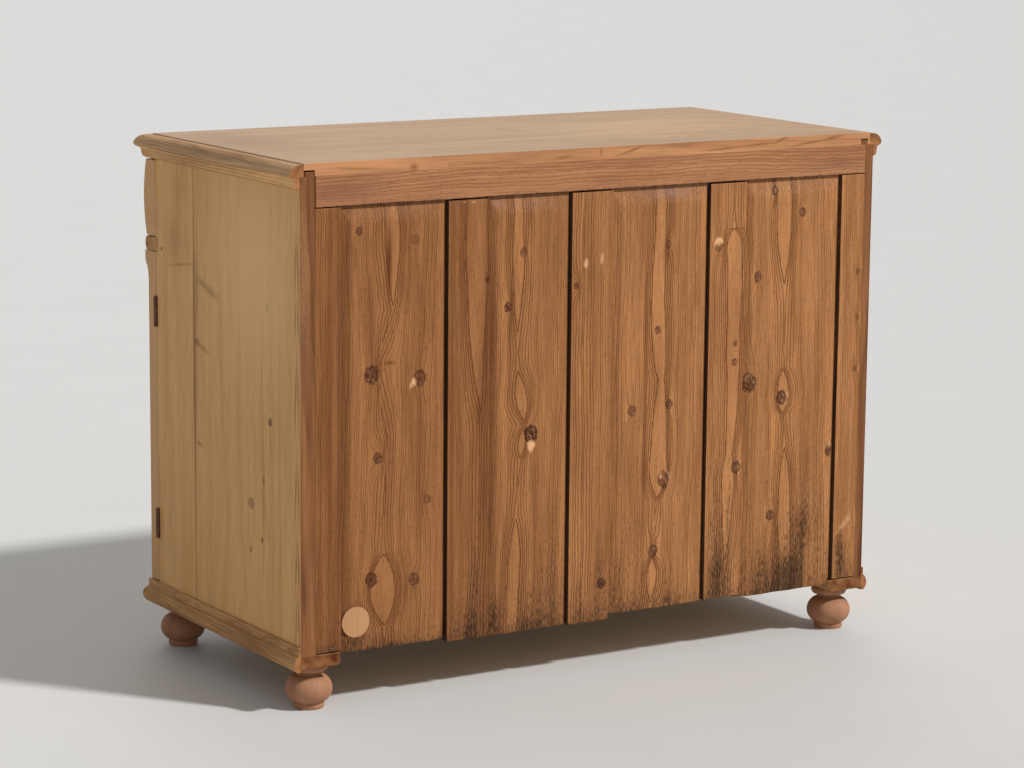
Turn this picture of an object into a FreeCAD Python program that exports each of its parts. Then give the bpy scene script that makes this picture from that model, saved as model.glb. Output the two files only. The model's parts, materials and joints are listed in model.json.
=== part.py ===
import FreeCAD, Part
import math
import os

Vector = FreeCAD.Vector

# A low pine cupboard: two drawers over two doors, a framed back and turned feet.
# Sizes are in millimetres. The origin is on the floor under the middle of the whole,
# +Z is up and the front faces -Y. A depth is a distance from the plane of the back
# towards the front. Left and right are as seen by someone standing at the front.

# Carcass
WIDTH = 1116.0              # over the outer faces of the sides
HEIGHT = 880.0              # floor to the top surface
SIDE_DEPTH = 515.0          # width of a side, back edge to front edge
SIDE_T = 26.5               # thickness of a side
SIDE_JOINT = 373.0          # depth of the glued joint between the two boards of a side
JOINT_CHAMFER = 1.2         # worn arris along that joint
SIDE_TONGUE_T = 14.5        # tongue along the top of a side, flush with its inner face
SIDE_TONGUE_H = 7.0
TOP_T = 21.0
TOP_INSET = 7.0             # ends and front of the top board inside the carcass faces
TOP_JOINT = 300.0           # depth of the glued joint between the two boards of the top
TOP_ROUND = 2.0             # rounded upper arris, left above the nosing
TOP_GROOVE_DEPTH = 10.0     # groove in the underside for a side's tongue
LIP_BROKEN = 14.0           # length broken off that groove's outer lip at the right back corner
BOTTOM_T = 16.0
WOOD_FIT = 0.2              # clearance of a wooden tongue or spigot in its seat

# Mouldings, as distances out from the carcass faces
NOSE_OUT = 17.5             # nosing round the top
NOSE_FLAT = 1.0
NOSE_BULGE = 3.6
NOSE_TIP_UP = 4.5           # widest point above the underside of the top
NOSE_RETURN = 2.0
NOSE_RETURN_BULGE = 0.7
BED_OUT = 15.5              # moulding under the nosing
BED_LIP = 1.2
BED_FOOT_OUT = 7.0
BED_FOOT_H = 5.6
BED_FOOT_BULGE = 1.6
BED_COVE_OUT = 8.0
BED_COVE_UP = 13.0
BED_COVE_HOLLOW = 1.9
BASE_OUT = 12.0             # roll round the base
BASE_ROOT_OUT = 6.0
BASE_STEP = 1.6
BASE_FILLET_OUT = 4.0
BASE_FILLET_H = 12.5
BASE_DROP = 4.0             # its lower edge below the base runners
MITRE_ROOM = 60.0           # extra length that is cut off at a mitre

# Base
FOOT_H = 75.0
FOOT_R = 38.0               # widest part of the bulb
FOOT_RING_R = 24.0
FOOT_RING_H = 10.0
FOOT_RING_EDGE = 1.3        # arris half-way up the ring, outside its ends
FOOT_BULB_TOP = 55.0
FOOT_BULB_TOP_R = 20.0
FOOT_NECK_R = 18.0
FOOT_COLLAR_R = 31.0
FOOT_COLLAR_EDGE_R = 28.0
FOOT_COLLAR_H = 13.0
FOOT_SIDE_INSET = 37.0      # foot axis from the side face
FOOT_END_INSET = 44.0       # foot axis from the back plane and from the door face
SPIGOT_R = 12.0
SPIGOT_H = 15.0
RUNNER_W = 71.0             # base runner under each side, back to front
RUNNER_T = 20.0
RUNNER_ROUND = 9.0

# Front frame
FRONT_SEAM = 1.0            # between the carcass edges and the doors and drawer fronts
TOP_RAIL_H = 20.0
RAIL_H = 24.0               # rail between drawers and doors
RAIL_PROUD = 11.0           # its nose in front of the door faces
RAIL_NOSE = 6.0
RAIL_HOUSING = 7.0          # let into the front edges of the sides
FRAME_BACK = 25.0           # how far rails and post reach behind the carcass edges
DRAWER_OPENING = 133.0      # clear height between the drawer rail and the top rail
DIVIDER_T = 24.0
DRAWER_RUNNER_W = 30.0
POST_W = 60.0

# Back frame, listed from the right side to the left
BACK_T = 18.0
BACK_RAIL_H = 49.0
RIGHT_STILE_W = 46.0
LEFT_STILE_W = 49.0
LEFT_REBATE = 10.0          # left stile let into a rebate of the left side
MUNTIN_W = (78.0, 80.0, 74.0)
MUNTIN_TAIL = (9.5, 11.0, 2.0)          # lower ends below the top of the base runners
PANEL_SHARE = (191.5, 153.5, 193.0, 199.0)
PANEL_TAIL = (3.0, 10.0, 3.5, 7.0)
PANEL_GAP = (3.0, 2.5, 2.0, 1.5)        # open joint that shrinkage has left beside a panel
MUNTIN_SHOULDER = 2.5       # gap under the top rail
STILE_SHOULDER = 1.5
RAIL_END_GAP = 1.5          # open joint at the right end of the top rail
STILE_LIFT = 1.0           # lower ends of the stiles above the base runners
GROOVE_FROM = 10.0          # panel groove, measured from the back plane
GROOVE_W = 6.0
GROOVE_DEPTH = 8.0
TONGUE_IN = 6.0             # panel tongue inside a groove
FIELD_SUNK = 1.0            # raised field below the frame's face
BEVEL_DEPTH = 6.0
BEVEL_SIDE = 16.0
BEVEL_TOP = 28.0
PANEL_SEAM = 0.4            # tight joint between a panel and the frame
PLUG_R = 25.0               # round plug in the first panel
PLUG_IN = 27.0              # its middle from the panel's edge
PLUG_UP = 30.0              # its middle above the cupboard floor
PLUG_PLAY = 0.4
NAIL_R = 1.3
NAIL_HEAD_R = 2.6
NAIL_HEAD_H = 0.8
NAIL_LENGTH = 38.0
NAIL_IN = 16.0              # nails from the edges of a muntin or stile
PIN_PLAY = 0.05             # clearance of pins, nails and screws in their bores

# Inside
SHELF_T = 18.0
SHELF_SETBACK = 22.0        # front edge of the shelf behind the front frame
SHELF_UP = 281.0            # underside of the shelf above the cupboard floor
BATTEN_W = 20.0
BATTEN_H = 25.0
BATTEN_SHORT = 12.0         # batten ends inside the shelf's front and back

# Doors
DOOR_T = 30.0
DOOR_GAP = 3.0              # between the two doors
DOOR_FOOT_GAP = 2.0
DOOR_HEAD_GAP = 1.0
DOOR_STILE_W = 80.0
DOOR_RAIL_W = 92.0
DOOR_GROOVE_DEPTH = 9.0
DOOR_PANEL_T = 15.0
DOOR_TONGUE_T = 8.0
DOOR_BEVEL = 32.0
DOOR_PANEL_SET = 8.0        # panel field behind the face of the frame
DOOR_PANEL_PLAY = 1.0       # panel short of its groove and of the opening
DOOR_CHAMFER = 6.0          # chamfer round the panel opening
CAP_H = 46.0                # moulding across the head of a door
CAP_OUT = 12.0
CAP_COVE_OUT = 6.0
CAP_COVE_H = 22.0
CAP_COVE_HOLLOW = 1.2
CAP_ROUND_FROM = 8.0
CAP_ROUND_H = 14.0
CAP_ROUND_BULGE = 1.0

# Butt hinges
HINGE_H = 50.0
HINGE_END = 76.0            # hinge from the upper and lower ends of a door
LEAF_W = 22.0
LEAF_T = 1.6
LEAF_GAP = 0.5              # between the two closed leaves
KNUCKLE_R = 3.6
KNUCKLE_H = 17.0            # each of the two carcass knuckles
KNUCKLE_GAP = 0.3
PIN_R = 1.75
PIN_OUT = 2.0               # hinge axis outside the side face
PIN_HEAD_R = 2.6
PIN_HEAD_H = 1.5
HINGE_ROOM = 0.5            # wood cut away round the knuckles
SCREW_R = 1.4
SCREW_HEAD_R = 2.8
SCREW_L = 14.0
SCREW_IN = 13.0             # screws from the outer face of the side
SCREWS_PER_LEAF = 3

# Rim locks
LOCK_W = 42.0
LOCK_T = 14.0
LOCK_WALL = 1.5
LOCK_BELOW = 16.0           # case below and above the key axis
LOCK_ABOVE = 30.0
LOCK_POST_GAP = 2.0
KEY_IN = 20.0               # key axis from the leading edge of the case
BOLT_L = 32.0
BOLT_H = 12.0
BOLT_T = 5.0
BOLT_UP = 11.0              # lower edge of the bolt above the key axis
BOLT_BEHIND = 5.0           # bolt from the back of the door
BOLT_THROW = 10.0
BOLT_PLAY = 0.6             # round the bolt in its slot and in the post
RUN = 0.3                   # running clearance
KEY_R = 2.4
KEY_BIT = 9.0               # reach of the bit from the key axis
KEY_BIT_T = 2.0
KEY_BIT_L = 6.0
KEY_STANDOFF = 14.0         # from the door face to the bow
KEY_BOW_R = 9.0
KEY_BOW_WIRE = 2.0
KEY_TIP_GAP = 0.6
PLATE_W = 24.0              # escutcheon
PLATE_H = 40.0
PLATE_T = 1.2

# Drawers
DRAWER_EDGE_PROUD = 5.0     # edges of a drawer front before the door faces
DRAWER_CROWN = 10.0         # bulge of a drawer front
DRAWER_FOOT_GAP = 1.5
DRAWER_HEAD_GAP = 2.5
DRAWER_PLAY = 1.5           # between a drawer box and the carcass
DRAWER_SIDE_T = 12.0
DRAWER_BOX_H = 105.0
DRAWER_BACK_ROOM = 22.0     # behind a closed drawer
DRAWER_BACK_DROP = 10.0     # drawer back below the drawer sides
DRAWER_BOTTOM_T = 6.0
DRAWER_BOTTOM_UP = 8.0
DRAWER_GROOVE = 5.0
KNOB_OUT = 28.0
KNOB_R = 17.0
KNOB_BASE_R = 14.0
KNOB_BASE_H = 3.0
KNOB_NECK_R = 8.0
KNOB_NECK_H = 9.0
KNOB_NECK_HOLLOW = 1.7
KNOB_CROWN_R = 9.0
KNOB_CROWN_RISE = 1.3
KNOB_SEAT = 1.0             # flat sunk into the bulge under a knob
KNOB_SPIGOT_R = 5.0
KNOB_SPIGOT_L = 20.0
KNOB_IN = 125.0             # knobs from the ends of a drawer front

# Worked-out places
HALF = WIDTH / 2
INNER = HALF - SIDE_T
FRONT = SIDE_DEPTH + FRONT_SEAM + DOOR_T
FITTED_BACK = SIDE_DEPTH + FRONT_SEAM
FRAME_FROM = SIDE_DEPTH - FRAME_BACK
UNDER_TOP = HEIGHT - TOP_T
RUNNER_TOP = FOOT_H + RUNNER_T
FLOOR = RUNNER_TOP + BOTTOM_T
TOP_RAIL_Z = UNDER_TOP - TOP_RAIL_H
RAIL_TOP = TOP_RAIL_Z - DRAWER_OPENING
RAIL_Z = RAIL_TOP - RAIL_H
DOOR_Z0 = FLOOR + DOOR_FOOT_GAP
DOOR_Z1 = RAIL_Z - DOOR_HEAD_GAP
DOOR_X0 = DOOR_GAP / 2
HINGE_X = HALF + PIN_OUT
HINGE_D = SIDE_DEPTH + FRONT_SEAM / 2
HINGE_Z = (DOOR_Z0 + HINGE_END, DOOR_Z1 - HINGE_END - HINGE_H)
LOCK_X = POST_W / 2 + LOCK_POST_GAP
LOCK_Z = (DOOR_Z0 + DOOR_Z1) / 2
KEY_X = LOCK_X + KEY_IN
BOLT_D = FITTED_BACK - BOLT_BEHIND
CROWN = FRONT + DRAWER_EDGE_PROUD + DRAWER_CROWN
DRAWER_Z0 = RAIL_TOP + DRAWER_FOOT_GAP
DRAWER_Z1 = TOP_RAIL_Z - DRAWER_HEAD_GAP
BACK_RAIL_Z = UNDER_TOP - BACK_RAIL_H
SHELF_Z = FLOOR + SHELF_UP
SHELF_DEPTH = FRAME_FROM - SHELF_SETBACK - BACK_T
BACK_Y = (CROWN + KNOB_OUT) / 2


def at(x, depth, z):
    """Point at a depth measured from the back plane."""
    return Vector(x, BACK_Y - depth, z)


def block(x0, x1, d0, d1, z0, z1):
    return Part.makeBox(x1 - x0, d1 - d0, z1 - z0, at(x0, d1, z0))


def rod(start, end, radius):
    return Part.makeCylinder(radius, (end - start).Length, start, end - start)


def cone(start, end, radius0, radius1):
    return Part.makeCone(radius0, radius1, (end - start).Length, start, end - start)


def mirrored(shape):
    """The same piece on the other side of the cupboard."""
    return shape.mirror(Vector(0, 0, 0), Vector(1, 0, 0))


def outline(place, *points):
    """Closed face, drawn anticlockwise. A point is (u, v), or (u, v, bulge) at the end of an arc:
    bulge is how far the middle of the arc stands out from the straight line, negative for a hollow."""
    edges = []
    here = points[0]
    for point in points[1:] + points[:1]:
        u0, v0 = here[:2]
        u1, v1 = point[:2]
        if len(point) > 2:
            share = point[2] / math.hypot(u1 - u0, v1 - v0)
            middle = place((u0 + u1) / 2 + (v1 - v0) * share, (v0 + v1) / 2 - (u1 - u0) * share)
            edges.append(Part.Arc(place(u0, v0), middle, place(u1, v1)).toShape())
        else:
            edges.append(Part.makeLine(place(u0, v0), place(u1, v1)))
        here = point
    return Part.Face(Part.Wire(edges))


def turned(foot, along, *points):
    """Solid of revolution: profile points are (radius, distance along the axis)."""
    across = Vector(1, 0, 0)

    def place(radius, distance):
        return foot + across * radius + along * distance

    return outline(place, *points).revolve(foot, along, 360)


def mitred(*points):
    """Left, front and right sticks of a moulding: points are (out from the face, height)."""
    side = outline(lambda out, z: at(HALF + out, 0, z), *points)
    side = side.extrude(Vector(0, -FRONT - MITRE_ROOM, 0))
    front = outline(lambda out, z: at(-HALF - MITRE_ROOM, FRONT + out, z), *points)
    front = front.extrude(Vector(WIDTH + 2 * MITRE_ROOM, 0, 0))
    past_front = outline(
        lambda x, depth: at(x, depth, 0),
        (HALF - MITRE_ROOM, FRONT - MITRE_ROOM),
        (HALF + MITRE_ROOM, FRONT + MITRE_ROOM),
        (HALF - MITRE_ROOM, FRONT + MITRE_ROOM),
    ).extrude(Vector(0, 0, HEIGHT))
    before_sides = outline(
        lambda x, depth: at(x, depth, 0),
        (-HALF - MITRE_ROOM, FRONT + MITRE_ROOM),
        (HALF + MITRE_ROOM, FRONT + MITRE_ROOM),
        (HALF - MITRE_ROOM, FRONT - MITRE_ROOM),
        (-HALF + MITRE_ROOM, FRONT - MITRE_ROOM),
    ).extrude(Vector(0, 0, HEIGHT))
    right = side.cut(past_front)
    return [mirrored(right), front.common(before_sides), right]


def frustum(x0, x1, z0, z1, low, high, bevels):
    """Raised field of a panel between two depths: bevels are (x0, x1, z0, z1) widths."""
    left, right, lower, upper = bevels
    rings = []
    for depth, share in ((low, 0), (high, 1)):
        corners = [
            at(x0 + left * share, depth, z0 + lower * share),
            at(x1 - right * share, depth, z0 + lower * share),
            at(x1 - right * share, depth, z1 - upper * share),
            at(x0 + left * share, depth, z1 - upper * share),
        ]
        rings.append(Part.makePolygon(corners + corners[:1]))
    return Part.makeLoft(rings, True, True)


def union(first, *others):
    return first.fuse(list(others)).removeSplitter()


# Top and its mouldings
def top_boards():
    end = HALF - TOP_INSET
    whole = block(-end, end, 0, FRONT - TOP_INSET, UNDER_TOP, HEIGHT)
    upper = [edge for edge in whole.Edges if edge.CenterOfMass.z > HEIGHT - TOP_ROUND]
    worn = [edge for edge in upper if edge.CenterOfMass.y < BACK_Y - TOP_ROUND]
    whole = whole.makeFillet(TOP_ROUND, worn)
    tongue_end = INNER + SIDE_TONGUE_T + WOOD_FIT
    groove_top = UNDER_TOP + TOP_GROOVE_DEPTH
    groove = block(INNER - WOOD_FIT, tongue_end, 0, SIDE_DEPTH, UNDER_TOP, groove_top)
    lip = block(INNER, end, 0, LIP_BROKEN, UNDER_TOP, groove_top)
    whole = whole.cut([groove, mirrored(groove), lip])
    rear = whole.common(block(-HALF, HALF, 0, TOP_JOINT, 0, HEIGHT))
    fore = whole.common(block(-HALF, HALF, TOP_JOINT, FRONT, 0, HEIGHT))
    return rear, fore


def top_nosing():
    upper = HEIGHT - TOP_ROUND
    return mitred(
        (-TOP_INSET, UNDER_TOP),
        (NOSE_OUT - NOSE_RETURN, UNDER_TOP),
        (NOSE_OUT, UNDER_TOP + NOSE_TIP_UP, NOSE_RETURN_BULGE),
        (NOSE_FLAT, upper, NOSE_BULGE),
        (-TOP_INSET, upper),
    )


def bed_moulding():
    return mitred(
        (0, TOP_RAIL_Z),
        (BED_FOOT_OUT, TOP_RAIL_Z + BED_FOOT_H, BED_FOOT_BULGE),
        (BED_COVE_OUT, TOP_RAIL_Z + BED_COVE_UP),
        (BED_OUT, UNDER_TOP - BED_LIP, -BED_COVE_HOLLOW),
        (BED_OUT, UNDER_TOP),
        (0, UNDER_TOP),
    )


# Sides, base and feet
def side_boards():
    """The two boards of the right side."""
    board = block(INNER, HALF, 0, SIDE_DEPTH, RUNNER_TOP, UNDER_TOP)
    tongue = block(INNER, INNER + SIDE_TONGUE_T, 0, SIDE_DEPTH, UNDER_TOP, UNDER_TOP + SIDE_TONGUE_H)
    board = union(board, tongue)
    board = board.cut(block(INNER, HALF, SIDE_DEPTH - RAIL_HOUSING, SIDE_DEPTH, RAIL_Z, RAIL_TOP))
    leaf_back = HINGE_D - LEAF_GAP / 2 - LEAF_T
    for z in HINGE_Z:
        board = board.cut(block(HALF - LEAF_W, HALF, leaf_back, SIDE_DEPTH, z, z + HINGE_H))
        board = board.cut(knuckle_room(z))
        board = board.cut(Part.makeCompound(leaf_screws(z, 1, PIN_PLAY)))
    worn = outline(
        lambda x, depth: at(x, depth, 0),
        (HALF, SIDE_JOINT - JOINT_CHAMFER),
        (HALF - JOINT_CHAMFER, SIDE_JOINT),
        (HALF, SIDE_JOINT + JOINT_CHAMFER),
    ).extrude(Vector(0, 0, HEIGHT))
    board = board.cut(worn)
    rear = board.common(block(INNER, HALF, 0, SIDE_JOINT, 0, HEIGHT))
    fore = board.common(block(INNER, HALF, SIDE_JOINT, SIDE_DEPTH, 0, HEIGHT))
    return [rear, fore]


def left_side_boards():
    rear, fore = [mirrored(board) for board in side_boards()]
    rebate = block(-INNER - LEFT_REBATE, -INNER, 0, BACK_T, 0, UNDER_TOP)
    return [rear.cut(rebate), fore]


def base_runner():
    """The runner under the right side, its lower inner edge rounded."""
    inner = HALF - RUNNER_W
    quarter_bulge = RUNNER_ROUND * (1 - math.sqrt(0.5))
    runner = outline(
        lambda x, z: at(x, 0, z),
        (HALF, FOOT_H),
        (HALF, RUNNER_TOP),
        (inner, RUNNER_TOP),
        (inner, FOOT_H + RUNNER_ROUND),
        (inner + RUNNER_ROUND, FOOT_H, quarter_bulge),
    ).extrude(Vector(0, -SIDE_DEPTH, 0))
    for depth in (FOOT_END_INSET, FRONT - FOOT_END_INSET):
        foot = at(HALF - FOOT_SIDE_INSET, depth, FOOT_H)
        runner = runner.cut(rod(foot, foot + Vector(0, 0, SPIGOT_H + WOOD_FIT), SPIGOT_R + WOOD_FIT))
    return runner


def base_moulding():
    low = FOOT_H - BASE_DROP
    fillet_z = FLOOR - BASE_FILLET_H
    return mitred(
        (0, low),
        (BASE_ROOT_OUT, low),
        (BASE_ROOT_OUT, fillet_z - BASE_STEP, BASE_OUT - BASE_ROOT_OUT),
        (BASE_FILLET_OUT, fillet_z),
        (BASE_FILLET_OUT, FLOOR),
        (0, FLOOR),
    )


def foot(x, depth):
    collar_z = FOOT_H - FOOT_COLLAR_H
    bulb_bulge = FOOT_R - (FOOT_RING_R + FOOT_BULB_TOP_R) / 2
    return turned(
        at(x, depth, 0),
        Vector(0, 0, 1),
        (0, 0),
        (FOOT_RING_R, 0),
        (FOOT_RING_R + FOOT_RING_EDGE, FOOT_RING_H / 2),
        (FOOT_RING_R, FOOT_RING_H),
        (FOOT_BULB_TOP_R, FOOT_BULB_TOP, bulb_bulge),
        (FOOT_NECK_R, (FOOT_BULB_TOP + collar_z) / 2),
        (FOOT_COLLAR_EDGE_R, collar_z),
        (FOOT_COLLAR_EDGE_R, FOOT_H, FOOT_COLLAR_R - FOOT_COLLAR_EDGE_R),
        (SPIGOT_R, FOOT_H),
        (SPIGOT_R, FOOT_H + SPIGOT_H),
        (0, FOOT_H + SPIGOT_H),
    )


# Front frame and inside
def drawer_rail():
    nose_from = FRONT + RAIL_PROUD - RAIL_NOSE
    strip = outline(
        lambda depth, z: at(-HALF, depth, z),
        (SIDE_DEPTH - RAIL_HOUSING, RAIL_Z),
        (nose_from, RAIL_Z),
        (nose_from, RAIL_TOP, RAIL_NOSE),
        (SIDE_DEPTH - RAIL_HOUSING, RAIL_TOP),
    ).extrude(Vector(WIDTH, 0, 0))
    return union(strip, block(-INNER, INNER, FRAME_FROM, SIDE_DEPTH, RAIL_Z, RAIL_TOP))


def top_front_rail():
    strip = block(-HALF, HALF, SIDE_DEPTH, FRONT, TOP_RAIL_Z, UNDER_TOP)
    return union(strip, block(-INNER, INNER, FRAME_FROM, SIDE_DEPTH, TOP_RAIL_Z, UNDER_TOP))


def drawer_divider():
    board = block(-DIVIDER_T / 2, DIVIDER_T / 2, BACK_T, SIDE_DEPTH, RAIL_TOP, UNDER_TOP)
    return board.cut(top_front_rail())


def drawer_runners():
    side = block(INNER - DRAWER_RUNNER_W, INNER, BACK_T, FRAME_FROM, RAIL_Z, RAIL_TOP)
    reach = DIVIDER_T / 2 + DRAWER_RUNNER_W
    middle = block(-reach, reach, BACK_T, FRAME_FROM, RAIL_Z, RAIL_TOP)
    return [mirrored(side), middle, side]


def centre_post():
    post = block(-POST_W / 2, POST_W / 2, FRAME_FROM, SIDE_DEPTH, FLOOR, RAIL_Z)
    mortise = block(
        LOCK_X + RUN - BOLT_THROW - BOLT_PLAY,
        POST_W / 2,
        BOLT_D - BOLT_T - BOLT_PLAY,
        BOLT_D + BOLT_PLAY,
        LOCK_Z + BOLT_UP - BOLT_PLAY,
        LOCK_Z + BOLT_UP + BOLT_H + BOLT_PLAY,
    )
    return post.cut(mortise).cut(mirrored(mortise))


def bottom_board():
    board = block(-INNER, INNER, BACK_T, SIDE_DEPTH, RUNNER_TOP, FLOOR)
    return board.cut(Part.makeCompound(nails(PIN_PLAY)))


def shelf():
    end = INNER - WOOD_FIT
    return block(-end, end, BACK_T, BACK_T + SHELF_DEPTH, SHELF_Z, SHELF_Z + SHELF_T)


def shelf_battens():
    right = block(
        INNER - BATTEN_W,
        INNER,
        BACK_T + BATTEN_SHORT,
        BACK_T + SHELF_DEPTH - BATTEN_SHORT,
        SHELF_Z - BATTEN_H,
        SHELF_Z,
    )
    return [mirrored(right), right]


# Back frame
def back_layout():
    """Places across the back as x pairs: right stile, muntins, panels, left stile."""
    across = WIDTH - 2 * SIDE_T + LEFT_REBATE
    sights = across - RIGHT_STILE_W - LEFT_STILE_W - sum(MUNTIN_W) - sum(PANEL_GAP)
    x = INNER
    right_stile = (x - RIGHT_STILE_W, x)
    x = right_stile[0]
    muntins = []
    panels = []
    for share, gap, muntin in zip(PANEL_SHARE, PANEL_GAP, MUNTIN_W + (None,)):
        sight = sights * share / sum(PANEL_SHARE)
        panels.append((x - sight, x))
        x -= sight + gap
        if muntin:
            muntins.append((x - muntin, x))
            x -= muntin
    return right_stile, muntins, panels, (x - LEFT_STILE_W, x)


def back_grooves(x0, x1, right, left):
    """Panel grooves in the edges of an upright between two x places."""
    cuts = []
    if right:
        cuts.append((x1 - GROOVE_DEPTH, x1))
    if left:
        cuts.append((x0, x0 + GROOVE_DEPTH))
    return [block(a, b, GROOVE_FROM, GROOVE_FROM + GROOVE_W, 0, HEIGHT) for a, b in cuts]


def back_upright(x0, x1, low, shoulder, right, left):
    """Stile or muntin with its panel grooves, nail bores and a stub tenon in the top rail."""
    wood = block(x0, x1, 0, BACK_T, low, shoulder)
    tenon = block(
        x0 + GROOVE_DEPTH,
        x1 - GROOVE_DEPTH,
        GROOVE_FROM + WOOD_FIT,
        GROOVE_FROM + GROOVE_W - WOOD_FIT,
        shoulder,
        BACK_RAIL_Z + TONGUE_IN,
    )
    wood = union(wood, tenon)
    for groove in back_grooves(x0, x1, right, left):
        wood = wood.cut(groove)
    return wood.cut(Part.makeCompound(nails(PIN_PLAY)))


def back_stiles():
    right, muntins, panels, left = back_layout()
    low = RUNNER_TOP + STILE_LIFT
    shoulder = BACK_RAIL_Z - STILE_SHOULDER
    return (
        back_upright(right[0], right[1], low, shoulder, False, True),
        back_upright(left[0], left[1], low, shoulder, True, False),
    )


def back_muntins():
    shoulder = BACK_RAIL_Z - MUNTIN_SHOULDER
    uprights = []
    for (x0, x1), tail in zip(back_layout()[1], MUNTIN_TAIL):
        uprights.append(back_upright(x0, x1, RUNNER_TOP - tail, shoulder, True, True))
    return uprights


def back_top_rail():
    x0 = -INNER - LEFT_REBATE
    rail = block(x0, INNER - RAIL_END_GAP, 0, BACK_T, BACK_RAIL_Z, UNDER_TOP)
    groove_top = BACK_RAIL_Z + GROOVE_DEPTH
    return rail.cut(block(x0, INNER, GROOVE_FROM, GROOVE_FROM + GROOVE_W, BACK_RAIL_Z, groove_top))


def plug_body(play):
    """Plug, or its hole where there is play."""
    x = back_layout()[2][0][1] - PLUG_IN
    z = FLOOR + PLUG_UP
    back = GROOVE_FROM + GROOVE_W - WOOD_FIT
    return rod(at(x, FIELD_SUNK - play, z), at(x, back + play, z), PLUG_R + play)


def back_panels():
    """Fielded panels: tight on their right in the frame, shrunk clear of it on their left."""
    clear_of = block(HALF - RUNNER_W - PANEL_SEAM, HALF, 0, BACK_T, 0, RUNNER_TOP + PANEL_SEAM)
    panels = []
    front = GROOVE_FROM + WOOD_FIT
    back = GROOVE_FROM + GROOVE_W - WOOD_FIT
    shoulder = FIELD_SUNK + BEVEL_DEPTH
    tongue_top = BACK_RAIL_Z + TONGUE_IN
    for (x0, x1), gap, tail in zip(back_layout()[2], PANEL_GAP, PANEL_TAIL):
        low = RUNNER_TOP - tail
        high = BACK_RAIL_Z - PANEL_SEAM
        right = x1 - PANEL_SEAM
        bevels = (BEVEL_SIDE, BEVEL_SIDE, 0, BEVEL_TOP)
        field = frustum(x0, right, low, high, shoulder, FIELD_SUNK, bevels)
        slab = block(x0, right, shoulder, back, low, high)
        tongue = block(x0 - gap - TONGUE_IN / 2, x1 + TONGUE_IN, front, back, low, tongue_top)
        panels.append(union(field, slab, tongue).cut([clear_of, mirrored(clear_of)]))
    panels[0] = panels[0].cut(plug_body(PLUG_PLAY))
    return panels


def nails(play):
    """Nails through the lower ends of the uprights into the edge of the bottom board."""
    right, muntins, panels, left = back_layout()
    z = (RUNNER_TOP + FLOOR) / 2
    driven = []
    for x0, x1 in [right] + muntins + [left]:
        for x in (x0 + NAIL_IN, x1 - NAIL_IN):
            head = rod(at(x, 0, z), at(x, NAIL_HEAD_H + play, z), NAIL_HEAD_R + play)
            shank = rod(at(x, 0, z), at(x, NAIL_LENGTH + play, z), NAIL_R + play)
            driven.append(head.fuse(shank).removeSplitter())
    return driven


# Hinges
def hinge_axis(z):
    return at(HINGE_X, HINGE_D, z)


def knuckle_room(z):
    """Wood cut away round the knuckles and the pin head of the right hinge at a height."""
    reach = PIN_HEAD_H + HINGE_ROOM
    return rod(hinge_axis(z - reach), hinge_axis(z + HINGE_H + reach), KNUCKLE_R + HINGE_ROOM)


def leaf_screws(z, side, play):
    """Countersunk screws of one leaf: side is 1 for the carcass leaf and -1 for the door leaf."""
    face = HINGE_D - side * LEAF_GAP / 2
    pitch = HINGE_H / SCREWS_PER_LEAF
    screws = []
    for index in range(SCREWS_PER_LEAF):
        height = z + pitch * (index + 0.5)
        x = HALF - SCREW_IN
        outer = at(x, face, height)
        under = at(x, face - side * LEAF_T, height)
        tip = at(x, face - side * (LEAF_T + SCREW_L + play), height)
        head = cone(outer, under, SCREW_HEAD_R + play, SCREW_R + play)
        screws.append(head.fuse(rod(outer, tip, SCREW_R + play)).removeSplitter())
    return screws


def hinge_leaf(z, side):
    """Right-hand leaf with its knuckles: the carcass leaf holds the outer two, the door leaf one."""
    near = HINGE_D - side * LEAF_GAP / 2
    far = near - side * LEAF_T
    plate = block(HALF - LEAF_W, HINGE_X, min(near, far), max(near, far), z, z + HINGE_H)
    ends = ((z, z + KNUCKLE_H), (z + HINGE_H - KNUCKLE_H, z + HINGE_H))
    middle = ((z + KNUCKLE_H + KNUCKLE_GAP, z + HINGE_H - KNUCKLE_H - KNUCKLE_GAP),)
    own, other = (ends, middle) if side > 0 else (middle, ends)
    for low, high in other:
        room = rod(hinge_axis(low - KNUCKLE_GAP), hinge_axis(high + KNUCKLE_GAP), KNUCKLE_R + HINGE_ROOM)
        plate = plate.cut(room)
    knuckles = [rod(hinge_axis(low), hinge_axis(high), KNUCKLE_R) for low, high in own]
    leaf = union(plate, *knuckles)
    leaf = leaf.cut(rod(hinge_axis(z), hinge_axis(z + HINGE_H), PIN_R + PIN_PLAY))
    return leaf.cut(Part.makeCompound(leaf_screws(z, side, PIN_PLAY)))


def hinge_pin(z):
    shank = rod(hinge_axis(z), hinge_axis(z + HINGE_H), PIN_R)
    head = rod(hinge_axis(z + HINGE_H), hinge_axis(z + HINGE_H + PIN_HEAD_H), PIN_HEAD_R)
    return union(shank, head)


# Doors, drawn on the right and mirrored for the left
def keyhole(d0, d1, play):
    """Round hole with a slot below it, cut from one depth to another."""
    hole = rod(at(KEY_X, d0, LOCK_Z), at(KEY_X, d1, LOCK_Z), KEY_R + play)
    half_slot = KEY_BIT_T / 2 + play
    slot = block(KEY_X - half_slot, KEY_X + half_slot, d0, d1, LOCK_Z - KEY_BIT - play, LOCK_Z)
    return union(hole, slot)


def door_opening():
    """Inner edges of the door frame: x and z pairs."""
    return (DOOR_X0 + DOOR_STILE_W, HALF - DOOR_STILE_W, DOOR_Z0 + DOOR_RAIL_W, DOOR_Z1 - DOOR_RAIL_W)


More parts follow.
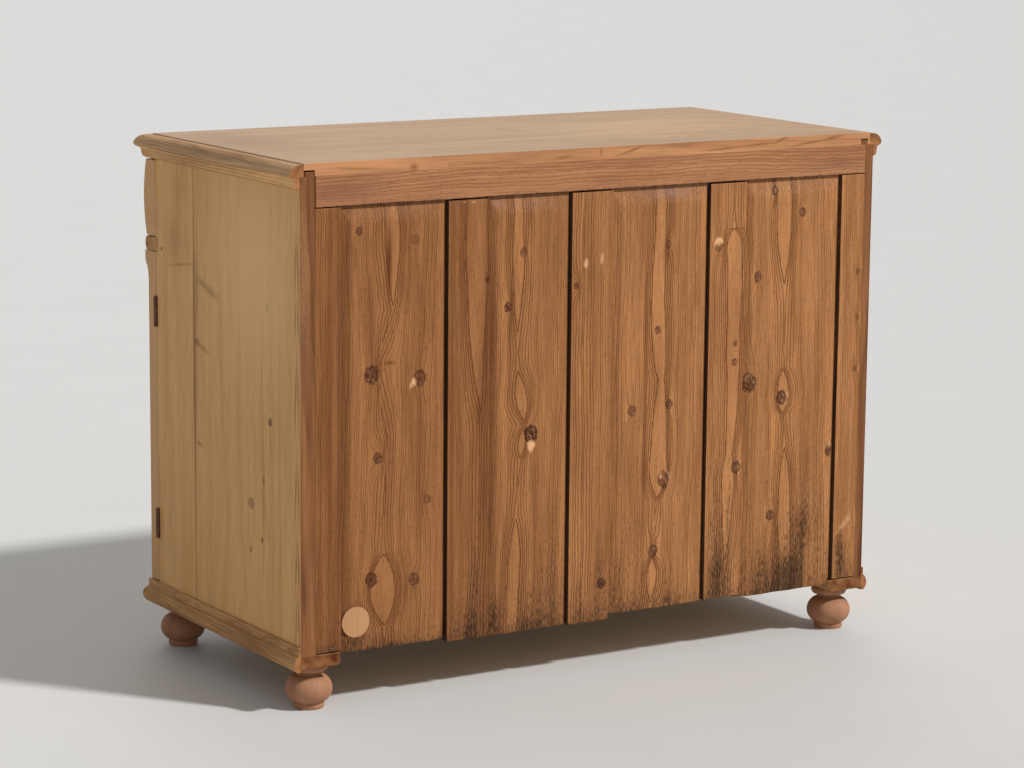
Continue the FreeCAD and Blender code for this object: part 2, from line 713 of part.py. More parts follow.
def panel_depths():
    """Depths of a door panel: its back, the front of its tongue and its field."""
    field = FRONT - DOOR_PANEL_SET
    back = field - DOOR_PANEL_T
    return back, back + DOOR_TONGUE_T, field


def door_frame():
    x0, x1, z0, z1 = door_opening()
    back, edge, field = panel_depths()
    chamfer_widths = (-DOOR_CHAMFER, -DOOR_CHAMFER, -DOOR_CHAMFER, -DOOR_CHAMFER)
    chamfer = frustum(x0, x1, z0, z1, FRONT - DOOR_CHAMFER, FRONT, chamfer_widths)
    groove = block(
        x0 - DOOR_GROOVE_DEPTH,
        x1 + DOOR_GROOVE_DEPTH,
        back - WOOD_FIT,
        edge + WOOD_FIT,
        z0 - DOOR_GROOVE_DEPTH,
        z1 + DOOR_GROOVE_DEPTH,
    )
    pieces = [
        block(DOOR_X0, x0, FITTED_BACK, FRONT, DOOR_Z0, DOOR_Z1),
        block(x1, HALF, FITTED_BACK, FRONT, DOOR_Z0, DOOR_Z1),
        block(x0, x1, FITTED_BACK, FRONT, DOOR_Z0, z0),
        block(x0, x1, FITTED_BACK, FRONT, z1, DOOR_Z1),
    ]
    cuts = [groove, chamfer, keyhole(FITTED_BACK, FRONT, RUN)]
    for z in HINGE_Z:
        leaf_front = HINGE_D + LEAF_GAP / 2 + LEAF_T
        cuts.append(block(HALF - LEAF_W, HALF, FITTED_BACK, leaf_front, z, z + HINGE_H))
        cuts.append(knuckle_room(z))
        cuts.extend(leaf_screws(z, -1, PIN_PLAY))
    return [piece.cut(cuts) for piece in pieces]


def door_panel():
    x0, x1, z0, z1 = door_opening()
    back, edge, field = panel_depths()
    play = DOOR_PANEL_PLAY
    grow = DOOR_GROOVE_DEPTH - play
    tongue = block(x0 - grow, x1 + grow, back, edge, z0 - grow, z1 + grow)
    bevels = (DOOR_BEVEL,) * 4
    raised = frustum(x0 + play, x1 - play, z0 + play, z1 - play, edge, field, bevels)
    return union(tongue, raised)


def door_cap():
    """Moulding across the head of a door."""
    low = DOOR_Z1 - CAP_H
    cove_top = low + CAP_COVE_H
    return outline(
        lambda out, z: at(DOOR_X0, FRONT + out, z),
        (0, low),
        (CAP_COVE_OUT, cove_top, -CAP_COVE_HOLLOW),
        (CAP_ROUND_FROM, cove_top),
        (CAP_OUT, cove_top + CAP_ROUND_H, CAP_ROUND_BULGE),
        (CAP_OUT, DOOR_Z1),
        (0, DOOR_Z1),
    ).extrude(Vector(HALF - DOOR_X0, 0, 0))


# Locks
def bolt_space(play):
    x0 = LOCK_X + RUN
    return block(
        x0 - play,
        x0 + BOLT_L + play,
        BOLT_D - BOLT_T - play,
        BOLT_D + play,
        LOCK_Z + BOLT_UP - play,
        LOCK_Z + BOLT_UP + BOLT_H + play,
    )


def lock_case():
    """Box on the inside of a door, open against the door, with a slot for the bolt."""
    x1 = LOCK_X + LOCK_W
    d0 = FITTED_BACK - LOCK_T
    z0 = LOCK_Z - LOCK_BELOW
    z1 = LOCK_Z + LOCK_ABOVE
    wall = LOCK_WALL
    case = block(LOCK_X, x1, d0, FITTED_BACK, z0, z1)
    inside = block(LOCK_X + wall, x1 - wall, d0 + wall, FITTED_BACK, z0 + wall, z1 - wall)
    return case.cut([inside, bolt_space(BOLT_PLAY)])


def key():
    """Key in its lock: shank, bit pointing down and an upright ring for a bow."""
    tip = FITTED_BACK - LOCK_T + LOCK_WALL + KEY_TIP_GAP
    bow = FRONT + KEY_STANDOFF
    shank = rod(at(KEY_X, tip, LOCK_Z), at(KEY_X, bow, LOCK_Z), KEY_R)
    half = KEY_BIT_T / 2
    bit = block(KEY_X - half, KEY_X + half, tip, tip + KEY_BIT_L, LOCK_Z - KEY_BIT, LOCK_Z)
    ring = Part.makeTorus(KEY_BOW_R, KEY_BOW_WIRE, at(KEY_X, bow + KEY_BOW_R, LOCK_Z), Vector(1, 0, 0))
    return union(shank, bit, ring)


def escutcheon():
    flat = block(
        KEY_X - PLATE_W / 2,
        KEY_X + PLATE_W / 2,
        FRONT,
        FRONT + PLATE_T,
        LOCK_Z - PLATE_H / 2 + PLATE_W / 2,
        LOCK_Z + PLATE_H / 2 - PLATE_W / 2,
    )
    ends = []
    for sign in (-1, 1):
        z = LOCK_Z + sign * (PLATE_H - PLATE_W) / 2
        ends.append(rod(at(KEY_X, FRONT, z), at(KEY_X, FRONT + PLATE_T, z), PLATE_W / 2))
    return union(flat, *ends).cut(keyhole(FRONT, FRONT + PLATE_T, RUN))


# Drawers, drawn on the right and mirrored for the left
def drawer_span():
    """Outer faces of the drawer box."""
    return DIVIDER_T / 2 + DRAWER_PLAY, INNER - DRAWER_PLAY


def drawer_heights():
    """Heights of the box: lower edge, bottom panel's underside and top, upper edge."""
    low = RAIL_TOP + RUN
    under = low + DRAWER_BOTTOM_UP
    return low, under, under + DRAWER_BOTTOM_T, low + DRAWER_BOX_H


def knob_places():
    z = (DRAWER_Z0 + DRAWER_Z1) / 2
    return [at(x, CROWN - KNOB_SEAT, z) for x in (DOOR_X0 + KNOB_IN, HALF - KNOB_IN)]


def drawer_front():
    edge = FRONT + DRAWER_EDGE_PROUD
    front = outline(
        lambda depth, z: at(DOOR_X0, depth, z),
        (FITTED_BACK, DRAWER_Z0),
        (edge, DRAWER_Z0),
        (edge, DRAWER_Z1, DRAWER_CROWN),
        (FITTED_BACK, DRAWER_Z1),
    ).extrude(Vector(HALF - DOOR_X0, 0, 0))
    x0, x1 = drawer_span()
    low, under, above, high = drawer_heights()
    inset = DRAWER_SIDE_T - DRAWER_GROOVE
    groove_end = FITTED_BACK + DRAWER_GROOVE
    front = front.cut(block(x0 + inset, x1 - inset, FITTED_BACK, groove_end, under, above))
    forward = Vector(0, -1, 0)
    for place in knob_places():
        bore_end = place - forward * (KNOB_SPIGOT_L + WOOD_FIT)
        front = front.cut(rod(place, place + forward * KNOB_OUT, KNOB_BASE_R + WOOD_FIT))
        front = front.cut(rod(bore_end, place, KNOB_SPIGOT_R + WOOD_FIT))
    return front


def drawer_box():
    x0, x1 = drawer_span()
    low, under, above, high = drawer_heights()
    back = BACK_T + DRAWER_BACK_ROOM
    inner0 = x0 + DRAWER_SIDE_T
    inner1 = x1 - DRAWER_SIDE_T
    groove = block(inner0 - DRAWER_GROOVE, inner1 + DRAWER_GROOVE, back, FITTED_BACK, under, above)
    left = block(x0, inner0, back, FITTED_BACK, low, high).cut(groove)
    right = block(inner1, x1, back, FITTED_BACK, low, high).cut(groove)
    rear = block(inner0, inner1, back, back + DRAWER_SIDE_T, above, high - DRAWER_BACK_DROP)
    return [left, right, rear]


def drawer_bottom():
    x0, x1 = drawer_span()
    low, under, above, high = drawer_heights()
    inset = DRAWER_SIDE_T - DRAWER_GROOVE + WOOD_FIT
    back = BACK_T + DRAWER_BACK_ROOM
    return block(x0 + inset, x1 - inset, back, FITTED_BACK + DRAWER_GROOVE - WOOD_FIT, under, above)


def knob(place):
    reach = KNOB_OUT + KNOB_SEAT
    dome_r = (KNOB_CROWN_R ** 2 + KNOB_CROWN_RISE ** 2) / (2 * KNOB_CROWN_RISE)
    crown_bulge = dome_r * (1 - math.cos(math.asin(KNOB_CROWN_R / dome_r) / 2))
    body_bulge = KNOB_R - (KNOB_NECK_R + KNOB_CROWN_R) / 2
    return turned(
        place,
        Vector(0, -1, 0),
        (0, -KNOB_SPIGOT_L),
        (KNOB_SPIGOT_R, -KNOB_SPIGOT_L),
        (KNOB_SPIGOT_R, 0),
        (KNOB_BASE_R, 0),
        (KNOB_BASE_R, KNOB_BASE_H),
        (KNOB_NECK_R, KNOB_NECK_H, -KNOB_NECK_HOLLOW),
        (KNOB_CROWN_R, reach - KNOB_CROWN_RISE, body_bulge),
        (0, reach, crown_bulge),
    )


def group(solids):
    return Part.makeCompound(solids)


def both_sides(solids):
    """Pieces of the right side followed by their left-hand fellows."""
    return solids + [mirrored(solid) for solid in solids]


def carcass_nodes():
    top_back, top_front = top_boards()
    stile_right, stile_left = back_stiles()
    side_screws = [screw for z in HINGE_Z for screw in leaf_screws(z, 1, 0)]
    nodes = {
        "top_board_back": top_back,
        "top_board_front": top_front,
        "top_nosing": group(top_nosing()),
        "bed_moulding": group(bed_moulding()),
        "left_side_boards": group(left_side_boards()),
        "right_side_boards": group(side_boards()),
        "top_front_rail": top_front_rail(),
        "drawer_rail": drawer_rail(),
        "drawer_divider": drawer_divider(),
        "drawer_runners": group(drawer_runners()),
        "centre_post": centre_post(),
        "bottom_board": bottom_board(),
        "base_front_rail": block(-HALF, HALF, SIDE_DEPTH, FRONT, FOOT_H, FLOOR),
        "base_runners": group(both_sides([base_runner()])),
        "base_moulding": group(base_moulding()),
        "back_top_rail": back_top_rail(),
        "back_stile_left": stile_left,
        "back_stile_right": stile_right,
        "back_muntins": group(back_muntins()),
        "hole_plug": plug_body(0),
        "back_nails": group(nails(0)),
        "shelf": shelf(),
        "shelf_battens": group(shelf_battens()),
        "carcass_hinge_leaves": group(both_sides([hinge_leaf(z, 1) for z in HINGE_Z])),
        "carcass_hinge_screws": group(both_sides(side_screws)),
        "hinge_pins": group(both_sides([hinge_pin(z) for z in HINGE_Z])),
    }
    for index, panel in enumerate(back_panels(), 1):
        nodes[f"back_panel_{index}"] = panel
    for side, x in (("left", FOOT_SIDE_INSET - HALF), ("right", HALF - FOOT_SIDE_INSET)):
        nodes[f"foot_back_{side}"] = foot(x, FOOT_END_INSET)
        nodes[f"foot_front_{side}"] = foot(x, FRONT - FOOT_END_INSET)
    return nodes


def fitted_nodes():
    """Door and drawer pieces of the right side, by name."""
    return {
        "door_frame": group(door_frame()),
        "door_panel": door_panel(),
        "door_cap": door_cap(),
        "door_hinge_leaves": group([hinge_leaf(z, -1) for z in HINGE_Z]),
        "door_hinge_screws": group([screw for z in HINGE_Z for screw in leaf_screws(z, -1, 0)]),
        "lock_case": lock_case(),
        "lock_bolt": bolt_space(0),
        "key": key(),
        "escutcheon": escutcheon(),
        "drawer_front": drawer_front(),
        "drawer_box": group(drawer_box()),
        "drawer_bottom": drawer_bottom(),
        "drawer_knobs": group([knob(place) for place in knob_places()]),
    }


os.makedirs("parts", exist_ok=True)
for name, shape in carcass_nodes().items():
    shape.exportStep(f"parts/{name}.step")
for name, shape in fitted_nodes().items():
    shape.exportStep(f"parts/right_{name}.step")
    mirrored(shape).exportStep(f"parts/left_{name}.step")
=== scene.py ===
import json
import math

import bmesh
import bpy
import numpy as np
from mathutils import Matrix, Vector
from mathutils.bvhtree import BVHTree

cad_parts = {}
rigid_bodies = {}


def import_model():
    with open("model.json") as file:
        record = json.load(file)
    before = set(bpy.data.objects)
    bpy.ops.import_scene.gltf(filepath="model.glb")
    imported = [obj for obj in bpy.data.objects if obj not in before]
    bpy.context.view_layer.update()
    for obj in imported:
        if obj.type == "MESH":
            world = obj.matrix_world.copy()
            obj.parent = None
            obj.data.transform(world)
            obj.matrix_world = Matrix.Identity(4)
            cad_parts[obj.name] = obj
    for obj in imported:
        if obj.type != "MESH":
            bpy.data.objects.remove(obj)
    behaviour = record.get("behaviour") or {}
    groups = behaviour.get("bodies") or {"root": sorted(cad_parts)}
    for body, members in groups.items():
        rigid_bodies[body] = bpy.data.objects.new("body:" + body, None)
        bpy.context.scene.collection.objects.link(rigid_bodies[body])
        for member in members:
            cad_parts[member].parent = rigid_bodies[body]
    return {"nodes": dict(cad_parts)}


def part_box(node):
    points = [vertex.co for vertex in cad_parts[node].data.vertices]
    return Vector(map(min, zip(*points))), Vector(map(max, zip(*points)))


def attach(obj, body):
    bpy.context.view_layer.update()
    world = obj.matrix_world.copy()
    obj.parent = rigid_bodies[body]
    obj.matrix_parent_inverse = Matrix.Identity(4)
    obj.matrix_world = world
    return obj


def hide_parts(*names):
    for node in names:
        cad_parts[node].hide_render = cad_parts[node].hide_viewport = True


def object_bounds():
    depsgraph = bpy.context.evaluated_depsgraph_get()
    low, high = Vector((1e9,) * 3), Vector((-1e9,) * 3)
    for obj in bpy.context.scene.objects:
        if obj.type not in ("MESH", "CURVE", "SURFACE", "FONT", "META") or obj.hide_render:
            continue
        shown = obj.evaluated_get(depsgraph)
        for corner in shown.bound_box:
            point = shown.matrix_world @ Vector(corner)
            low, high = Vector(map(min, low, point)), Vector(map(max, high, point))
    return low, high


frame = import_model()
CAD_BOX = [[float(value) for value in corner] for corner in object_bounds()]

bl_info = {
    "name": "Low Pine Cupboard",
    "version": (1, 0, 0),
    "blender": (4, 5, 0),
    "location": "View3D > Sidebar > Cupboard",
    "description": "Dresses the cupboard's frame in old pine, iron, steel and brass",
    "category": "Object",
}

MM = 0.001
MERGE = 1e-6
X, Y, Z = range(3)


def linear(text):
    """An sRGB hex value as linear red, green, blue and an alpha of one."""
    parts = [int(text[i:i + 2], 16) / 255 for i in (1, 3, 5)]
    return tuple(p / 12.92 if p <= 0.04045 else ((p + 0.055) / 1.055) ** 2.4 for p in parts) + (1.0,)


def tint(name, description, value):
    """A colour that a user may change."""
    return bpy.props.FloatVectorProperty(
        name=name, description=description, default=linear(value),
        size=4, min=0.0, max=1.0, subtype="COLOR")


def size(name, description, millimetres):
    """A length that a user may change, written in millimetres."""
    return bpy.props.FloatProperty(
        name=name, description=description, default=millimetres * MM,
        min=0.0, precision=5, unit="LENGTH")


class CupboardColours(bpy.types.PropertyGroup):
    """Colours of the woods, the metals and the marks on them."""

    back_early: tint("Back, early wood", "Pale part of a year's growth on the back", "#C18655")
    back_late: tint("Back, late wood", "Dark line that ends a year's growth on the back", "#552B12")
    rail_early: tint("Rail, early wood", "Pale part of a year's growth on the top rail", "#BA845C")
    rail_late: tint("Rail, late wood", "Dark lines on the top rail", "#74432B")
    side_early: tint("Sides, early wood", "Pale wood of the sides", "#DEAC72")
    side_late: tint("Sides, late wood", "Grain lines of the sides", "#B98646")
    top_early: tint("Top, early wood", "Pale wood of the top", "#B4906A")
    edge_early: tint("Top's back edge", "Pale wood of the top's bare back edge", "#C48A5C")
    top_late: tint("Top, late wood", "Grain lines of the top", "#80603E")
    moulding_early: tint("Mouldings, early wood", "Pale wood of the mouldings", "#C99A67")
    nosing_early: tint("Nosing, early wood", "Greyed wood of the nosing", "#D6AF86")
    bed_early: tint("Bed moulding, early wood", "Pale wood under the nosing", "#EDBB7E")
    moulding_late: tint("Mouldings, late wood", "Grain lines of the mouldings", "#704823")
    turned_early: tint("Turned wood, early", "Pale wood of the feet and knobs", "#AC7C5C")
    turned_late: tint("Turned wood, late", "Grain lines of the feet and knobs", "#80523A")
    front_early: tint("Front, early wood", "Pale wood of the doors and drawer fronts", "#D0A06A")
    front_late: tint("Front, late wood", "Grain lines of the doors and drawer fronts", "#AE7C45")
    inner_early: tint("Inside, early wood", "Pale wood of the unseen boards", "#D9B588")
    inner_late: tint("Inside, late wood", "Grain lines of the unseen boards", "#B28552")
    plug_early: tint("Plug, early wood", "Pale wood of the round plug", "#B88A60")
    plug_late: tint("Plug, late wood", "Grain lines of the round plug", "#A2704A")
    knot: tint("Knots", "Brown of a live knot", "#7D5038")
    mark: tint("Soft marks", "Brown of resin and old stain on the sides and top", "#84562E")
    bleach: tint("Bleached wood", "Pale wood that the light has bleached", "#E6BC86")
    knot_heart: tint("Knot hearts", "Near black of a dead knot", "#2B160C")
    stain: tint("Water stain", "Black of old water stains", "#211C18")
    # This grey paints dust on the upper bevels, and a painted sheen of the room's light on them.
    dust: tint("Dust", "Grey that has settled on the upper bevels", "#96796C")
    # This colour also paints the glints in the knots.
    chip: tint("Chips", "Pale wood where a splinter broke away", "#DCA97B")
    iron: tint("Iron", "Dark oxide of hinges, nails and keys", "#5C4336")
    rust: tint("Rust", "Brown bloom on the iron", "#865538")
    steel: tint("Steel", "Dull steel of the lock cases", "#8F8B85")
    brass: tint("Brass", "Aged brass of the escutcheons", "#B08C4C")
    floor: tint("Floor", "Pale floor", "#C9C8C6")


class CupboardSizes(bpy.types.PropertyGroup):
    """Sizes of the grain and of the small work on the boards."""

    ring: size("Ring spacing", "From one year's line to the next", 3.9)
    fibre: size("Fibre width", "Width of the fine streaks along the grain", 1.5)
    grid: size("Board grid", "Spacing of the points on the back's boards", 2.2)
    arris: size("Worn arris", "Radius that wear has given the edges", 0.9)
    ragged: size("Ragged ends", "How unevenly the lower ends were sawn", 2.5)
    nail: size("Nail head", "Radius of a nail's head", 2.6)
    screw: size("Screw head", "Radius of a hinge screw's head", 2.8)
    slot: size("Screw slot", "Width of the slot in a screw's head", 0.8)


class CupboardStage(bpy.types.PropertyGroup):
    """Light and lens of the studio."""

    key: bpy.props.FloatProperty(
        name="Key light", description="Strength of the light from the photograph's right",
        default=3.3, min=0.0)
    fill: bpy.props.FloatProperty(
        name="Front light", description="Strength of the weak light on the front",
        default=0.4, min=0.0)
    sky: bpy.props.FloatProperty(
        name="Room light", description="Strength of the even light of the room",
        default=0.4, min=0.0)
    lens: bpy.props.FloatProperty(
        name="Lens", description="Focal length on a sensor 36 mm wide",
        default=112.64, min=1.0, unit="CAMERA")


# Kinds of node that the materials use most, and settings that go with them.
MATH = "ShaderNodeMath"
VECTOR = "ShaderNodeVectorMath"
RANGE = "ShaderNodeMapRange"
NOISE = "ShaderNodeTexNoise"
FIELD = "ShaderNodeAttribute"
MIX = "ShaderNodeMix"
BLEND = {"out": 2, "data_type": "RGBA"}
SOFT = {"interpolation_type": "SMOOTHSTEP"}

# Sizes of the wood's patterns: across the grain, across it the other way, and along it.
FIBRE_LONG = 60 * MM
PATCHES = (22 * MM, 22 * MM, 260 * MM)
SPECKS = (5 * MM, 5 * MM, 9 * MM)
PITS = (1.2 * MM, 1.2 * MM, 4 * MM)
DASHES = (2 * MM, 2 * MM, 10 * MM)
WANDER = (55 * MM, 55 * MM, 320 * MM)
WANDER_BY = 9 * MM
KNOT_RADII = (4 * MM, 8 * MM)
# Year lines are this much thinner on other sticks than on the back.
LINE_THIN = 0.6
BUMP_DEPTH = 0.6 * MM


def put(tree, kind, inputs, out=0, **settings):
    """Adds a node, sets and links its inputs, and gives back one of its outputs."""
    node = tree.nodes.new(kind)
    for key, value in settings.items():
        setattr(node, key, value)
    for key, value in inputs.items():
        if isinstance(value, bpy.types.NodeSocket):
            tree.links.new(value, node.inputs[key])
        else:
            node.inputs[key].default_value = value
    return node.outputs[out] if node.outputs else node


def new_material(name):
    """A bare node material, or None where it has been made already."""
    if name in bpy.data.materials:
        return None
    material = bpy.data.materials.new(name)
    material.use_nodes = True
    material.node_tree.nodes.clear()
    return material


def colours():
    return bpy.context.scene.cupboard_colours


def sizes():
    return bpy.context.scene.cupboard_sizes


def grained(tree, grain, lengths, detail, roughness=0.5, out=0):
    """Noise that follows the grain, with blotches of a given size."""
    place = put(tree, VECTOR, {0: grain, 1: tuple(1 / length for length in lengths)}, operation="MULTIPLY")
    inputs = {"Vector": place, "Scale": 1.0, "Detail": detail, "Roughness": roughness}
    return put(tree, NOISE, inputs, out=out)


def steps_from(tree, centre, reach, axis, tilt):
    """The way from a mark's centre, in steps of the mark's half sizes."""
    turn = [0.0, 0.0, 0.0]
    turn[axis] = -tilt
    place = put(tree, "ShaderNodeTexCoord", {}, out="Object")
    place = put(tree, "ShaderNodeMapping", {
        "Vector": place, "Location": centre, "Rotation": turn, "Scale": reach}, vector_type="TEXTURE")
    return put(tree, VECTOR, {0: place}, out="Value", operation="LENGTH")


def written_rings(tree, speck):
    """Rings, years per millimetre, nearness to a knot and its darkness, from a back board's fields."""
    # The field "knot_at" is the way to the nearest listed knot, in steps of its radius.
    way = put(tree, FIELD, {}, out="Vector", attribute_name="knot_at")
    steps = put(tree, VECTOR, {0: way}, out="Value", operation="LENGTH")
    ragged = put(tree, RANGE, {0: speck, 1: 0.3, 2: 0.7, 3: -0.3, 4: 0.3})
    steps = put(tree, MATH, {0: steps, 1: ragged}, operation="ADD")
    near = put(tree, RANGE, {0: steps, 1: 0.0, 2: 2.0, 3: 1.0, 4: 0.0})
    dark = put(tree, FIELD, {}, out="Fac", attribute_name="knot_dark")
    rings = put(tree, FIELD, {}, out="Fac", attribute_name="ring")
    pace = put(tree, FIELD, {}, out="Fac", attribute_name="pace")
    return rings, pace, near, dark


def grown_rings(tree, grain, spacing, knots, spots):
    """The same for any other stick, from rings that wander round its pith and swell round its knots."""
    wander = grained(tree, grain, WANDER, 2.0, out="Color")
    away = put(tree, VECTOR, {0: wander, 1: (0.5, 0.5, 0.5)}, operation="SUBTRACT")
    bent = put(tree, VECTOR, {0: away, 1: (WANDER_BY, WANDER_BY, 0.0), 2: grain}, operation="MULTIPLY_ADD")
    across = put(tree, VECTOR, {0: bent, 1: (1.0, 1.0, 0.0)}, operation="MULTIPLY")
    radius = put(tree, VECTOR, {0: across}, out="Value", operation="LENGTH")
    swirl, near, dark = 0.0, 0.0, 0.0
    if knots:
        # Random knots, so many to the metre, each a ball round a scattered point.
        cell = put(tree, "ShaderNodeTexVoronoi", {"Vector": grain, "Scale": knots}, out="Distance")
        chance = cell.node.outputs["Color"]
        small, large = (radius_of * knots for radius_of in KNOT_RADII)
        pick = put(tree, RANGE, {0: chance, 3: small, 4: large})
        steps = put(tree, MATH, {0: cell, 1: pick}, operation="DIVIDE")
        near = put(tree, RANGE, {0: steps, 1: 0.0, 2: 2.0, 3: 1.0, 4: 0.0})
        swirl = put(tree, RANGE, {0: steps, 1: 0.0, 2: 5.0, 3: 2.5, 4: 0.0}, **SOFT)
        dark = put(tree, RANGE, {0: chance, 3: 0.1, 4: 0.7})
    for centre, reach, tilt, shade in spots:
        # A listed knot: its centre, its half sizes, its tilt on the board and its darkness.
        steps = steps_from(tree, centre, reach, X, tilt)
        close = put(tree, RANGE, {0: steps, 1: 0.0, 2: 2.0, 3: 1.0, 4: 0.0})
        swell = put(tree, RANGE, {0: steps, 1: 0.0, 2: 5.0, 3: 2.0, 4: 0.0}, **SOFT)
        within = put(tree, MATH, {0: close, 1: 0.01}, operation="GREATER_THAN")
        near = put(tree, MATH, {0: near, 1: close}, operation="MAXIMUM")
        swirl = put(tree, MATH, {0: swirl, 1: swell}, operation="ADD")
        dark = put(tree, MATH, {0: within, 1: shade, 2: dark}, operation="MULTIPLY_ADD")
    rings = put(tree, MATH, {0: radius, 1: 1 / spacing, 2: swirl}, operation="MULTIPLY_ADD")
    return rings, LINE_THIN * MM / spacing, near, dark


def year_lines(tree, rings, pace):
    """How dark the year lines are, how crisp they are, and which of them bounds the heart."""
    # A year ends, after a soft shade, in a dark line that fades over 1.9 mm, or more near the heart.
    year = put(tree, MATH, {0: rings}, operation="FLOOR")
    part = put(tree, MATH, {0: rings}, operation="FRACT")
    left = put(tree, MATH, {0: 1.0, 1: part}, operation="SUBTRACT")
    ahead = put(tree, MATH, {0: left, 1: pace}, operation="DIVIDE")
    width = put(tree, RANGE, {0: rings, 1: -1.0, 2: 5.0, 3: 5.5, 4: 1.9})
    crisp = put(tree, RANGE, {0: ahead, 1: 0.0, 2: width, 3: 1.0, 4: 0.0}, **SOFT)
    shade = put(tree, RANGE, {0: ahead, 1: 0.0, 2: 6.0, 3: 0.3, 4: 0.0})
    lines = put(tree, MATH, {0: crisp, 1: shade}, operation="MAXIMUM")
    # Some years are darker than others, and the years round the heart are the darkest.
    mark = put(tree, "ShaderNodeTexWhiteNoise", {"W": year}, noise_dimensions="1D")
    heart = put(tree, MATH, {0: year, 1: -1.0, 2: 0.1}, operation="COMPARE")
    mark = put(tree, MATH, {0: mark, 1: heart}, operation="MAXIMUM")
    weight = put(tree, MATH, {0: mark, 1: 2.2}, operation="POWER")
    weight = put(tree, RANGE, {0: weight, 3: 0.38, 4: 1.0})
    first = put(tree, RANGE, {0: rings, 1: 0.0, 2: 7.0, 3: 0.9, 4: 0.0})
    weight = put(tree, MATH, {0: weight, 1: first}, operation="MAXIMUM")
    lines = put(tree, MATH, {0: lines, 1: weight}, operation="MULTIPLY")
    return lines, crisp, heart


def with_knots(tree, wood, near, dark, speck):
    """The wood with its knots: mottled brown, a dark rim, painted glints and, in a dead one, a cracked black
    heart.
    """
    c = colours()
    eye = put(tree, RANGE, {0: near, 1: 0.66, 2: 0.92})
    crack = put(tree, MATH, {0: speck, 1: 2.6, 2: -0.95}, operation="MULTIPLY_ADD")
    heart = put(tree, MATH, {0: eye, 1: 0.6, 2: crack}, operation="MULTIPLY_ADD")
    whorl = put(tree, MATH, {0: near, 1: 26.0}, operation="MULTIPLY")
    whorl = put(tree, MATH, {0: whorl}, operation="SINE")
    heart = put(tree, MATH, {0: whorl, 1: 0.16, 2: heart}, operation="MULTIPLY_ADD")
    heart = put(tree, MATH, {0: heart, 1: dark}, operation="MULTIPLY", use_clamp=True)
    knot = put(tree, MIX, {0: heart, 6: tuple(c.knot), 7: tuple(c.knot_heart)}, **BLEND)
    # Pale flecks in a dark knot are painted glints of light.
    painted_glint = put(tree, RANGE, {0: speck, 1: 0.36, 2: 0.44, 3: 0.6, 4: 0.0})
    painted_glint = put(tree, MATH, {0: painted_glint, 1: dark}, operation="MULTIPLY")
    knot = put(tree, MIX, {0: painted_glint, 6: knot, 7: tuple(c.chip)}, **BLEND)
    inside = put(tree, RANGE, {0: near, 1: 0.44, 2: 0.56}, **SOFT)
    cover = put(tree, RANGE, {0: dark, 3: 0.3, 4: 1.0})
    inside = put(tree, MATH, {0: inside, 1: cover}, operation="MULTIPLY")
    wood = put(tree, MIX, {0: inside, 6: wood, 7: knot}, **BLEND)
    outer = put(tree, RANGE, {0: near, 1: 0.34, 2: 0.5}, **SOFT)
    inner = put(tree, RANGE, {0: near, 1: 0.5, 2: 0.7, 3: 1.0, 4: 0.0})
    rim = put(tree, MATH, {0: outer, 1: inner}, operation="MULTIPLY")
    rim = put(tree, MATH, {0: rim, 1: dark}, operation="MULTIPLY")
    rim = put(tree, MATH, {0: rim, 1: 0.95}, operation="MULTIPLY")
    return put(tree, MIX, {0: rim, 6: wood, 7: tuple(c.knot_heart)}, **BLEND)


def with_smears(tree, wood, smears, speck):
    """The wood with soft brown marks, or bleached ones where a mark's strength is below zero."""
    c = colours()
    for centre, reach, axis, tilt, strength in smears:
        steps = steps_from(tree, centre, reach, axis, tilt)
        steps = put(tree, MATH, {0: speck, 1: 0.8, 2: steps}, operation="MULTIPLY_ADD")
        cover = put(tree, RANGE, {0: steps, 1: 0.4, 2: 2.0, 3: abs(strength), 4: 0.0}, **SOFT)
        hue = tuple(c.bleach if strength < 0 else c.mark)
        wood = put(tree, MIX, {0: cover, 6: wood, 7: hue}, **BLEND)
    return wood


